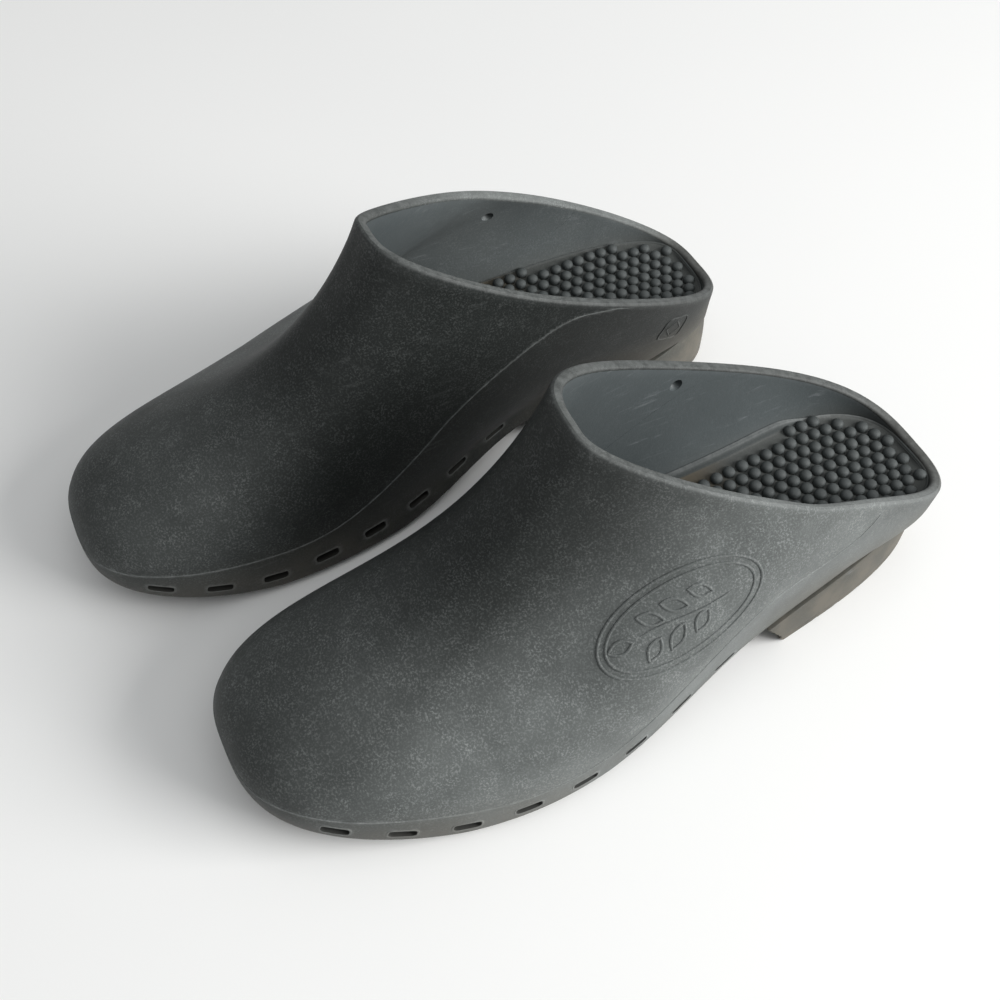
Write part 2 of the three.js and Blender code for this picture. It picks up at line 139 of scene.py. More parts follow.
@dataclass(frozen=True)
class ClogForm:
    """The shape of the left clog, as the CAD model has it: sizes in millimetres."""

    sole_length: float = 277
    lateral_widths: Knots = (
        (0, 33.4), (47, 34.8), (97, 38), (142, 49.5), (192, 58.7), (237, 59.6), (277, 60.6),
    )
    medial_widths: Knots = (
        (0, 30.7), (47, 32.7), (97, 26.8), (142, 38.8), (192, 49), (237, 52.7), (277, 55),
    )
    toe_lean: float = -7
    outline_roundness: float = 0.7
    edge_heights: Knots = (
        (0, 24.9), (47, 22.3), (85, 16.2), (122, 9.1), (162, 2.3), (187, 1.5), (212, 2.3), (277, 18.4),
    )
    tread_depth: float = 2.4
    rim_length: float = 151
    rim_lateral: Knots = ((0, 34.6), (48, 31.4), (98, 30.8), (151, 21.1))
    rim_medial: Knots = ((0, 43.1), (48, 39.7), (98, 37.7), (151, 36.2))
    rim_middle: Knots = ((0, 4.5), (75, -0.1), (151, -7.4))
    rim_heights: Knots = ((0, 41.4), (50, 71.3), (100, 98.1), (151, 126.6))
    rim_roundness: float = 0.65
    rim_tilt: float = 2.4
    toe: WallHandles = WallHandles(43.7, 8.6, 43.3, 93.3)
    lateral: WallHandles = WallHandles(47.7, 4.5, 3.6, 8.7)
    medial: WallHandles = WallHandles(14, -12, 3, 42)
    heel: WallHandles = WallHandles(3.4, 4.5, 1.7, 25.8)
    wall_thickness: float = 4
    floor_thickness: float = 4
    lateral_seam: Knots = (
        (40, 125), (47, 67), (54, 58.5), (69, 53.5), (98, 53), (112, 47.5), (130, 36), (151, 24),
        (168, 19.2), (200, 18.2), (243, 23.3), (266, 27), (300, 29),
    )
    medial_seam: Knots = (
        (46, 140), (51, 78), (83, 80), (92, 78), (114, 66.5), (135, 52.7), (152, 38.8), (168, 28.6),
        (184, 22.4), (200, 20.5), (221, 22.2), (256, 26.3), (266, 27), (300, 29),
    )
    footbed_heights: Knots = ((0, 36), (40, 39), (97, 34), (150, 22.5), (195, 17), (237, 21), (277, 32))
    footbed_thickness: float = 5
    footbed_curl: float = 3

    def edge_height(self, x: Array) -> Array:
        """Height of the sole's lower edge: a spline, no lower than the tread under the ball is deep."""
        return np.maximum(self.tread_depth, Spline(self.edge_heights)(x))

    def footbed_height(self, x: Array) -> Array:
        """Height of the footbed's top along its middle."""
        return Spline(self.footbed_heights)(x)

    def outline(self, phi: Array) -> Array:
        """The sole's outline in plan.

        x runs as half a cosine wave along the length, and y as a power of the sine times the half
        width at x, about a middle line that leans with the square of x.

        Args:
            phi: angles round the clog, from the back of the heel over the outer side.

        Returns:
            Points in plan.
        """
        x = self.sole_length / 2 * (1 - np.cos(phi))
        half = np.where(np.sin(phi) >= 0, Spline(self.lateral_widths)(x), Spline(self.medial_widths)(x))
        middle = self.toe_lean * (x / self.sole_length) ** 2
        return vec(x, middle + half * signed_power(np.sin(phi), self.outline_roundness))

    def rim(self, phi: Array) -> Array:
        """The rim of the foot opening: the outline's formula with its own widths, and a tilt.

        Args:
            phi: angles round the clog.

        Returns:
            Points at the rim's top.
        """
        x = self.rim_length / 2 * (1 - np.cos(phi))
        s = np.sin(phi)
        half = np.where(s >= 0, Spline(self.rim_lateral)(x), Spline(self.rim_medial)(x))
        y = Spline(self.rim_middle)(x) + half * signed_power(s, self.rim_roundness)
        return vec(x, y, Spline(self.rim_heights)(x) - self.rim_tilt * (1 + np.cos(2 * phi)) * s)

    def outwards(self, phi: Array) -> Array:
        """Unit vectors in plan that point away from the clog, square to the outline."""
        step = 1e-3
        along = unit(self.outline(phi + step) - self.outline(phi - step))
        return vec(-along[..., 1], along[..., 0])

    def wall(self, phi: Array, v: Array) -> Array:
        """The outside of the wall.

        At each angle it is a cubic Bezier curve from the outline (v = 0) to the rim (v = 1), whose
        two handles are blended from those of the toe, the sides and the heel.

        Args:
            phi: angles round the clog.
            v: shares of the way up, spread to the same shape.

        Returns:
            The points.
        """
        phi, v = np.broadcast_arrays(np.asarray(phi, float), np.asarray(v, float))
        share = (1 - np.cos(phi)) / 2
        toe, heel = smooth(2 * share - 1), smooth(1 - 2 * share)
        side = 1 - toe - heel
        sway = signed_power(np.sin(phi), 0.5)
        lateral = 0.5 + 0.5 * sway

        def blend(name: str) -> Array:
            """A handle's length at each angle."""
            sides = lateral * getattr(self.lateral, name) + (1 - lateral) * getattr(self.medial, name)
            return toe * getattr(self.toe, name) + heel * getattr(self.heel, name) + side * sides

        foot = self.outline(phi)
        out = self.outwards(phi) * blend("bulge")[..., None]
        start = vec(foot[..., 0], foot[..., 1], self.edge_height(foot[..., 0]))
        end = self.rim(phi)
        forward = toe * self.toe.lean + heel * self.heel.lean
        sideways = sway * side * (lateral * self.lateral.lean - (1 - lateral) * self.medial.lean)
        first = start + vec(out[..., 0], out[..., 1], blend("rise"))
        second = end + vec(forward, sideways, -blend("drop"))
        v = v[..., None]
        u = 1 - v
        return u ** 3 * start + 3 * u * u * v * first + 3 * u * v * v * second + v ** 3 * end

    def normal(self, phi: Array, v: Array) -> Array:
        """Unit vectors out of the wall: the cross product of its slopes up and round.

        Args:
            phi: angles round the clog.
            v: shares of the way up.

        Returns:
            One unit vector a point.
        """
        step = 1e-3
        around = self.wall(phi + step, v) - self.wall(phi - step, v)
        up = self.wall(phi, np.minimum(1, v + step)) - self.wall(phi, np.maximum(0, v - step))
        return unit(np.cross(up, around))

    def climb(self, phi: Array, v: Array) -> Array:
        """Millimetres of wall for a whole unit of the share, measured over a short step below v."""
        step = 0.01
        below = self.wall(phi, np.maximum(v - step, 0))
        return np.linalg.norm(self.wall(phi, v) - below, axis=1) / step

    def inside(self, phi: Array, v: Array, depth: Any) -> Array:
        """Points this far inside the wall, square to its outside."""
        return self.wall(phi, v) - self.normal(phi, v) * np.asarray(depth, float)[..., None]

    def share_at(self, phi: Array, depth: float, height: Callable[[Array], Array]) -> Array:
        """The share v where the surface this deep in the wall reaches a height that depends on x.

        Halves the range thirty times at every angle at once.

        Args:
            phi: angles round the clog.
            depth: how deep in the wall the surface lies.
            height: gives the height for distances from the heel.

        Returns:
            One share an angle.
        """
        low, high = np.zeros_like(phi, float), np.ones_like(phi, float)
        for _ in range(30):
            v = (low + high) / 2
            point = self.inside(phi, v, depth)
            below = point[..., 2] < height(point[..., 0])
            low, high = np.where(below, v, low), np.where(below, high, v)
        return (low + high) / 2

    def shoot(self, phi: float, v: float, flat: Array) -> Tuple[Array, Array]:
        """Lays a flat design on the wall, straight along the wall's direction at one place.

        Newton's method finds the angle and share whose point, seen along that direction, lies at
        each flat offset: along the wall first, then up it.

        Args:
            phi: angle of the design's middle.
            v: share of the design's middle.
            flat: offsets in millimetres, along the clog towards the toe and up the wall.

        Returns:
            The angles and shares of the points.
        """
        out = self.normal(phi, v)
        level = unit(np.cross(np.array([0.0, 0.0, 1.0]), out))
        level = level * np.sign(level[0] + 1e-9)
        rise = np.cross(out, level)
        rise = rise * np.sign(rise[2])
        axes = np.stack([level, rise], 1)
        origin = self.wall(phi, v) @ axes
        at, share = np.full(len(flat), float(phi)), np.full(len(flat), float(v))
        step = 1e-4
        for _ in range(12):
            here = self.wall(at, share) @ axes
            by_phi = (self.wall(at + step, share) @ axes - here) / step
            by_v = (self.wall(at, share + step) @ axes - here) / step
            miss = origin + flat - here
            spread = by_phi[:, 0] * by_v[:, 1] - by_phi[:, 1] * by_v[:, 0]
            at = at + (miss[:, 0] * by_v[:, 1] - miss[:, 1] * by_v[:, 0]) / spread
            share = share + (by_phi[:, 0] * miss[:, 1] - by_phi[:, 1] * miss[:, 0]) / spread
        return at, share

    def seam_route(self) -> Tuple[Array, Array]:
        """Angles and shares along the moulding line, from the outer notch in the rim to the inner.

        Walks along the line where the wall's height equals the seam's, in short steps square to the
        slope of the difference, and corrects each step back onto the line.

        Returns:
            The angles and the shares of the points along the line.
        """
        curves = [seam_curve(self.lateral_seam), seam_curve(self.medial_seam)]
        heights = [Spline(tuple(zip(c[:, 0], c[:, 1]))) for c in curves]

        def miss(p: Array) -> float:
            """How far the wall lies above the seam at an angle and share."""
            point = self.wall(p[0], p[1])
            return float(point[2] - heights[int(math.sin(p[0]) < 0)](point[0]))

        scale = np.array([100.0, 120.0])
        step, nudge = 1.2, 1e-3
        p = np.array([math.radians(66.0), 0.9])
        route: List[Array] = []
        for _ in range(900):
            for _ in range(3):
                m = miss(p)
                slope = np.array([miss(p + [nudge, 0]) - m, miss(p + [0, nudge]) - m]) / nudge / scale
                p = p - m * slope / (slope @ slope + 1e-9) / scale
            route.append(p.copy())
            ahead = np.array([slope[1], -slope[0]]) / np.linalg.norm(slope)
            p = p + ahead * step / scale
            if p[1] > 1.0 and len(route) > 40:
                break
        inner = np.array([q for q in route if q[1] <= 1.0])
        return inner[:, 0], inner[:, 1]


def seam_curve(knots: Knots, steps: int = 10) -> Array:
    """A smooth curve through the seam's knots: Catmull-Rom pieces with chord-length spacing.

    Each piece is the cubic that passes through two knots with slopes taken from their neighbours.

    Args:
        knots: pairs of distance from the heel and height.
        steps: parts of each piece.

    Returns:
        Points along the curve, two numbers each.
    """
    p = np.array(knots, float)
    chord = np.maximum(np.linalg.norm(np.diff(p, axis=0), axis=1), 1e-6) ** 0.5
    t = np.concatenate([[0], np.cumsum(chord)])
    slopes = np.gradient(p, t, axis=0)
    fine = np.unique(np.concatenate([np.linspace(a, b, steps + 1) for a, b in zip(t[:-1], t[1:])]))
    i = np.clip(np.searchsorted(t, fine, side="right") - 1, 0, len(chord) - 1)
    h = chord[i][:, None]
    u = ((fine - t[i])[:, None]) / h
    return (
        (2 * u ** 3 - 3 * u ** 2 + 1) * p[i] + (u ** 3 - 2 * u ** 2 + u) * h * slopes[i]
        + (3 * u ** 2 - 2 * u ** 3) * p[i + 1] + (u ** 3 - u ** 2) * h * slopes[i + 1]
    )


# ---- where each clog stands ------------------------------------------------------------------


class Side(Enum):
    """Which foot a clog is for."""

    LEFT = "left"
    RIGHT = "right"


@dataclass(frozen=True)
class Stand:
    """Places a clog's own points in the model's frame, in metres."""

    side: Side
    shift: Array
    forward: float = 21
    spacing: float = 118.5
    turn: float = math.radians(-0.8)

    def place(self, points: Array) -> Array:
        """The right clog is mirrored, turned and moved beside the left; toes then point along -Y.

        Args:
            points: in the clog's own frame, in millimetres.

        Returns:
            The points in the model's frame.
        """
        x, y, z = np.moveaxis(np.asarray(points, float), -1, 0)
        if self.side is Side.RIGHT:
            c, s = math.cos(self.turn), math.sin(self.turn)
            x, y = self.forward + c * x + s * y, -self.spacing + s * x - c * y
        return vec(y, -x, z) * MM + self.shift

    def unplace(self, points: Array) -> Array:
        """Points of the model's frame back in the clog's own frame: place, undone.

        Args:
            points: rows of points in the model's frame.

        Returns:
            The points in millimetres.
        """
        own = (np.asarray(points, float) - self.shift) / MM
        x, y, z = -own[:, 1], own[:, 0], own[:, 2]
        if self.side is Side.RIGHT:
            c, s = math.cos(self.turn), math.sin(self.turn)
            u, w = x - self.forward, y + self.spacing
            x, y = c * u + s * w, s * u - c * w
        return vec(x, y, z)


def find_shift(form: ClogForm, front: float = 76, flare: float = 2.5, rows: int = 14) -> Array:
    """How far the pair was moved to stand over its origin, from the left heel tread's box.

    The tread's outline is the sole's, moved out by the heel's flare, from its back to its front.

    Args:
        form: the clog's form.
        front: where the tread's front lies, from the heel.
        flare: how far the heel stands out at the floor.
        rows: parts of each side of the outline, as the CAD model has them.

    Returns:
        The shift in metres.
    """
    low, high = (np.array(corner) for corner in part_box("left_heel_tread"))
    phi = np.linspace(0, math.acos(1 - 2 * front / form.sole_length), rows + 1)
    outer, inner = (form.outline(a) + form.outwards(a) * flare for a in (phi, 2 * np.pi - phi))
    middle = (outer[:, 1].max() + inner[:, 1].min()) / 2
    return np.array([(low[0] + high[0]) / 2 - middle * MM, high[1] - flare * MM, 0.0])


# ---- meshes --------------------------------------------------------------------------------


def sag_across(share: Array, length: Array, depth: float) -> Array:
    """How far a line across a ring hangs: a parabola, shallower on lines under 50 mm long."""
    return depth * ((2 * share - 1) ** 2 - 1) * smooth(length / 50)


def even_ring(points: Array, count: int, blur: float) -> Array:
    """A closed outline in plan with evenly spaced points and rounded corners.

    The outline is read at equal distances, then each term of its Fourier series is damped as a
    Gaussian blur along the outline does.

    Args:
        points: corners of the outline, in order.
        count: how many points to give back.
        blur: width of the blur, in millimetres.

    Returns:
        The outline, anticlockwise.
    """
    closed = np.concatenate([points, points[:1]])
    run = np.concatenate([[0], np.cumsum(np.linalg.norm(np.diff(closed, axis=0), axis=1))])
    places = np.linspace(0, run[-1], count, endpoint=False)
    ring = np.interp(places, run, closed[:, 0]) + 1j * np.interp(places, run, closed[:, 1])
    waves = np.fft.fftfreq(count, run[-1] / count) * 2 * np.pi
    ring = np.fft.ifft(np.fft.fft(ring) * np.exp(-(waves * blur) ** 2 / 2))
    area = np.sum(ring.real * np.roll(ring.imag, -1) - np.roll(ring.real, -1) * ring.imag)
    ring = ring if area > 0 else ring[::-1]
    return vec(ring.real, ring.imag)


def ring_out(ring: Array) -> Array:
    """Unit vectors out of an anticlockwise outline in plan."""
    along = unit(np.roll(ring, -1, 0) - np.roll(ring, 1, 0))
    return vec(along[:, 1], -along[:, 0])


class Skin:
    """Collects grids of points as one closed mesh in a clog's own frame."""

    def __init__(self) -> None:
        """Starts empty."""
        self.points: List[Array] = []
        self.faces: List[Array] = []
        self.slots: List[Array] = []
        self.count = 0

    def grid(self, rows: Array, closed: bool = False, slot: int = 0) -> None:
        """Adds a grid of four-sided faces.

        Args:
            rows: points, as rows by columns by 3.
            closed: whether the last column joins the first.
            slot: material slot of the faces.
        """
        high, wide = rows.shape[:2]
        index = np.arange(high * wide).reshape(high, wide) + self.count
        if closed:
            index = np.concatenate([index, index[:, :1]], 1)
        quads = np.stack([index[:-1, :-1], index[:-1, 1:], index[1:, 1:], index[1:, :-1]], -1)
        self.add(rows.reshape(-1, 3), quads.reshape(-1, 4), slot)

    def add(self, points: Array, quads: Array, slot: int = 0) -> None:
        """Adds points, and quads whose indices already start at this skin's count.

        Args:
            points: rows of three numbers.
            quads: four indices a face.
            slot: material slot of the faces.
        """
        self.points.append(points)
        self.faces.append(quads)
        self.slots.append(np.full(len(quads), slot))
        self.count += len(points)

    def cap(self, ring: Array, steps: int = 1, slot: int = 0) -> None:
        """Closes a ring with smaller copies of itself, drawn evenly towards its mean."""
        centre = ring.mean(0)
        share = np.linspace(1, 0, steps + 1)[:, None, None]
        self.grid(centre + (ring[None] - centre) * share, True, slot)

    def cover(self, ring: Array, steps: int, slot: int = 0, sag: Any = 0.0) -> None:
        """Closes a ring by lines straight across it, from its outer to its inner side.

        Args:
            ring: an even number of points; the first is the back of the heel.
            steps: parts of each line.
            slot: material slot of the faces.
            sag: how far long lines sag in the middle, by a parabola.
        """
        half = len(ring) // 2
        near, far = ring[:half + 1], ring[-np.arange(half + 1) % len(ring)]
        share = np.linspace(0, 1, steps + 1)
        rows = near[:, None] + (far - near)[:, None] * share[None, :, None]
        rows[..., 2] += sag_across(share, np.linalg.norm(far - near, axis=1)[:, None], sag)
        self.grid(rows, False, slot)

    def prism(self, ring: Array, direction: Array, slot: int = 0) -> None:
        """A closed block: a ring carried along a direction, with both ends closed."""
        self.grid(np.stack([ring, ring + direction]), True, slot)
        self.cap(ring, 1, slot)
        self.cap(ring + direction, 1, slot)

    def build(self, name: str, stand: Stand, materials: Sequence[Any], sharp: float = 40) -> Any:
        """Makes the object: merges doubles, turns faces outwards and shades it smooth.

        Args:
            name: the piece's name.
            stand: where the clog stands.
            materials: one for each slot.
            sharp: angle in degrees past which an edge is shaded sharp.

        Returns:
            The Blender object, at the origin, with its place in its mesh.
        """
        points = stand.place(np.concatenate(self.points))
        quads = np.concatenate(self.faces)
        mesh = bpy.data.meshes.new(name)
        mesh.vertices.add(len(points))
        mesh.vertices.foreach_set("co", points.ravel())
        mesh.loops.add(quads.size)
        mesh.loops.foreach_set("vertex_index", quads.ravel().astype(np.int32))
        mesh.polygons.add(len(quads))
        mesh.polygons.foreach_set("loop_start", np.arange(0, quads.size, 4, dtype=np.int32))
        mesh.polygons.foreach_set("material_index", np.concatenate(self.slots).astype(np.int32))
        mesh.update(calc_edges=True)
        mesh.validate()
        made = bpy.data.objects.new(name, mesh)
        bpy.context.collection.objects.link(made)
        for material in materials:
            mesh.materials.append(material)
        weld(made)
        shade(made, sharp)
        return made


def weld(thing: Any, distance: float = 2e-6) -> None:
    """Merges doubled points, drops faces with no area and turns the faces outwards.

    Args:
        thing: the object.
        distance: in metres, below which points are one.
    """
    work = bmesh.new()
    work.from_mesh(thing.data)
    bmesh.ops.remove_doubles(work, verts=work.verts, dist=distance)
    bmesh.ops.dissolve_degenerate(work, edges=work.edges, dist=distance / 2)
    bmesh.ops.recalc_face_normals(work, faces=work.faces)
    if work.calc_volume(signed=True) < 0:
        bmesh.ops.reverse_faces(work, faces=work.faces)
    work.to_mesh(thing.data)
    work.free()


def shade(thing: Any, sharp: float) -> None:
    """Shades smooth, with edges sharp past an angle in degrees."""
    thing.data.shade_smooth()
    thing.data.set_sharp_from_angle(angle=math.radians(sharp))


def carve(thing: Any, tool: Any, operation: str) -> None:
    """Cuts, keeps or joins with another object by a boolean, applies it and removes the tool.

    Args:
        thing: the object that is changed.
        tool: the closed object that changes it.
        operation: DIFFERENCE, INTERSECT or UNION.
    """
    bpy.context.view_layer.update()
    boolean = thing.modifiers.new("carve", "BOOLEAN")
    boolean.operation = operation
    boolean.solver = "MANIFOLD"
    boolean.object = tool
    graph = bpy.context.evaluated_depsgraph_get()
    result = bpy.data.meshes.new_from_object(thing.evaluated_get(graph))
    thing.modifiers.remove(boolean)
    old = thing.data
    thing.data = result
    result.name = old.name
    bpy.data.meshes.remove(old)
    bpy.data.objects.remove(tool, do_unlink=True)


def copy_of(thing: Any, name: str) -> Any:
    """A second object with its own copy of the mesh."""
    other = bpy.data.objects.new(name, thing.data.copy())
    bpy.context.collection.objects.link(other)
    return other


def coordinates(thing: Any) -> Array:
    """All points of an object's mesh."""
    flat = np.empty(len(thing.data.vertices) * 3)
    thing.data.vertices.foreach_get("co", flat)
    return flat.reshape(-1, 3)


def nearness(points: Array, marks: Array, reach: float) -> Array:
    """1 at a mark, falling smoothly to 0 at the reach: from the distance to the nearest mark.

    Args:
        points: where to measure.
        marks: points to measure from, in the same unit.
        reach: distance at which it is 0.

    Returns:
        One number a point.
    """
    nearest = np.full(len(points), np.inf)
    for start in range(0, len(points), 4000):
        block = points[start:start + 4000]
        squares = ((block[:, None] - marks[None]) ** 2).sum(-1)
        nearest[start:start + 4000] = np.sqrt(squares.min(1))
    return smooth(1 - nearest / reach)


def paint(thing: Any, name: str, values: Array) -> None:
    """Stores one number per point as an attribute, which a material reads by name."""
    layer = thing.data.attributes.new(name, "FLOAT", "POINT")
    layer.data.foreach_set("value", values.astype(np.float32))


def bead(skin: Skin, path: Array, out: Array, half: float, proud: float, closed: bool) -> None:
    """A raised line along a path on a surface: an ellipse carried along it, thinned at open ends.

    Args:
        skin: where its faces go.
        path: points on the surface.
        out: unit vectors out of the surface.
        half: half the line's width.
        proud: how far it stands out.
        closed: whether the path comes back to its start.
    """
    if closed:
        along = np.roll(path, -1, 0) - np.roll(path, 1, 0)
        thin = np.ones(len(path))
    else:
        along = np.gradient(path, axis=0)
        place = np.linspace(0, 1, len(path))
        thin = np.clip(np.minimum(place, 1 - place) * len(path) / 4, 0.02, 1) ** 0.5
    across = np.cross(unit(along), out)
    turn = np.linspace(0, 2 * np.pi, 9)[:-1]
    rows = (
        path[:, None] + across[:, None] * (half * thin[:, None] * np.cos(turn))[..., None]
        + out[:, None] * (proud * thin[:, None] * np.sin(turn))[..., None]
    )
    if closed:
        rows = np.concatenate([rows, rows[:1]])
        skin.grid(rows, True)
    else:
        tips = [np.repeat(path[i][None, None], 8, 1) for i in (0, -1)]
        skin.grid(np.concatenate([tips[0], rows, tips[1]]), True)


# ---- shader expressions ----------------------------------------------------------------------


class Value:
    """A number in a material: arithmetic on it adds Math nodes."""

    def __init__(self, graph: "Graph", socket: Any) -> None:
        """Wraps an output socket of a graph's node."""
        self.graph, self.socket = graph, socket

    def math(self, operation: str, *others: Any, clamped: bool = False) -> "Value":
        """One Math node, with this value first."""
        settings = {"operation": operation, "use_clamp": clamped}
        return self.graph.value("ShaderNodeMath", settings, dict(enumerate((self, *others))))

    def __add__(self, other: Any) -> "Value":
        """Sum."""
        return self.math("ADD", other)

    __radd__ = __add__

    def __sub__(self, other: Any) -> "Value":
        """Difference."""
        return self.math("SUBTRACT", other)

    def __rsub__(self, other: Any) -> "Value":
        """Difference the other way round."""
        return self.graph.value("ShaderNodeMath", {"operation": "SUBTRACT"}, {0: other, 1: self})

    def __mul__(self, other: Any) -> "Value":
        """Product."""
        return self.math("MULTIPLY", other)

    __rmul__ = __mul__

    def step(self, low: float, high: float) -> "Value":
        """0 below low and 1 above high, with a smooth rise between; high may be the smaller one."""
        inputs = {"Value": self, "From Min": low, "From Max": high, "To Min": 0.0, "To Max": 1.0}
        return self.graph.value("ShaderNodeMapRange", {"interpolation_type": "SMOOTHSTEP"}, inputs)

    def clamp(self) -> "Value":
        """Held between 0 and 1."""
        return self.math("ADD", 0.0, clamped=True)


class Graph:
    """Builds one material's nodes."""

    def __init__(self, name: str) -> None:
        """Starts a material with a Principled shader on its output.

        Args:
            name: the material's name.
        """
        self.material = bpy.data.materials.new(name)
        self.material.use_nodes = True
        self.tree = self.material.node_tree
        self.shader = next(n for n in self.tree.nodes if n.type == "BSDF_PRINCIPLED")
        self.place = self.node("ShaderNodeTexCoord", {}, {}).outputs["Object"]

    def node(self, kind: str, settings: Dict[str, Any], inputs: Dict[Any, Any]) -> Any:
        """Adds a node.

        Args:
            kind: its type.
            settings: its properties, set first.
            inputs: values or links by socket name or number.

        Returns:
            The node.
        """
        made = self.tree.nodes.new(kind)
        for key, setting in settings.items():
            setattr(made, key, setting)
        for key, given in inputs.items():
            self.feed(made.inputs[key], given)
        return made

    def feed(self, socket: Any, given: Any) -> None:
        """Links a value or socket to an input, or sets the input to a number or colour.

        Args:
            socket: the input.
            given: a value, a socket, a number or a colour.
        """
        if isinstance(given, Value):
            given = given.socket
        if isinstance(given, bpy.types.NodeSocket):
            self.tree.links.new(given, socket)
        else:
            whole = isinstance(given, tuple) and socket.type == "RGBA"
            socket.default_value = (*given, 1.0) if whole else given

    def value(self, kind: str, settings: Dict[str, Any], inputs: Dict[Any, Any]) -> Value:
        """Adds a node and wraps its first output."""
        return Value(self, self.node(kind, settings, inputs).outputs[0])

    def noise(self, scale: float, detail: float = 3, rough: float = 0.55, place: Any = None) -> Value:
        """Noise with about this many lumps to the metre."""
        inputs = {"Vector": place or self.place, "Scale": scale, "Detail": detail, "Roughness": rough}
        return self.value("ShaderNodeTexNoise", {}, inputs)

    def stretched(self, x: float, y: float, z: float, turn: float = 0.0) -> Any:
        """Object coordinates scaled on each axis, for streaks."""
        about_up = Vector((0.0, 0.0, turn))
        inputs = {"Vector": self.place, "Scale": Vector((x, y, z)), "Rotation": about_up}
        return self.node("ShaderNodeMapping", {}, inputs).outputs[0]

    def height(self) -> Value:
        """Height above the floor, in metres."""
        return Value(self, self.node("ShaderNodeSeparateXYZ", {}, {0: self.place}).outputs["Z"])

    def painted(self, name: str) -> Value:
        """A number that the mesh stores at its points."""
        settings = {"attribute_type": "GEOMETRY", "attribute_name": name}
        return Value(self, self.node("ShaderNodeAttribute", settings, {}).outputs["Fac"])

    def mix(self, share: Any, first: Any, second: Any) -> Any:
        """Blends two colours."""
        settings = {"data_type": "RGBA", "blend_type": "MIX"}
        made = self.node("ShaderNodeMix", settings, {0: share, 6: first, 7: second})
        return made.outputs[2]

    def bump(self, height: Value, strength: float, distance: float, below: Any = None) -> Any:
        """A Bump node; heights are in units of the distance.

        Args:
            height: the relief.
            strength: how much of it shows.
            distance: height in metres of a value of 1.
            below: the normal of a coarser or finer relief under it.

        Returns:
            The node's normal.
        """
        inputs: Dict[Any, Any] = {"Height": height, "Strength": strength, "Distance": distance}
        if below is not None:
            inputs["Normal"] = below
        return self.node("ShaderNodeBump", {}, inputs).outputs[0]

    def finish(self, **sockets: Any) -> Any:
        """Feeds the shader's sockets, named with underscores for spaces, and returns the material."""
        for key, given in sockets.items():
            self.feed(self.shader.inputs[key.replace("_", " ")], given)
        return self.material


# ---- finishes ------------------------------------------------------------------------------


@dataclass(frozen=True)
class Patches:
    """A noise that is 0 below one value and 1 above another, which picks out patches.

    Attributes:
        scale: about how many lumps lie on a metre.
        detail: how many finer octaves it has.
        low: value below which it is 0.
        high: value above which it is 1.
        rough: share that each finer octave has of the one before.
    """

    scale: float
    detail: float
    low: float
    high: float
    rough: float = 0.55

    def on(self, g: Graph, place: Any = None) -> Value:
        """The patches as nodes of a material, on its object's coordinates or on other ones."""
        return g.noise(self.scale, self.detail, self.rough, place).step(self.low, self.high)


CLOUDS = Patches(28, 4, 0.3, 0.75)
FILM_PATCHES = Patches(24, 5, 0.25, 0.72, 0.6)
SPECK_GROUPS = Patches(130, 6, 0.36, 0.68, 0.72)
HAIR_STREAKS = Patches(1, 5, 0.55, 0.74, 0.65)
SCUFFED_AREAS = Patches(45, 3, 0.4, 0.62)
WEAR_AND_HIGHLIGHT_PATCHES = Patches(330, 4, 0.25, 0.7, 0.6)
SOIL_PATCHES = Patches(70, 5, 0.3, 0.66, 0.6)
SPECK_SCALE = 1350
SPECK_RANGE = (0.47, 0.64)
HAIRS_TO_THE_METRE = (260, 60, 420)
HAIR_TURN = 0.5


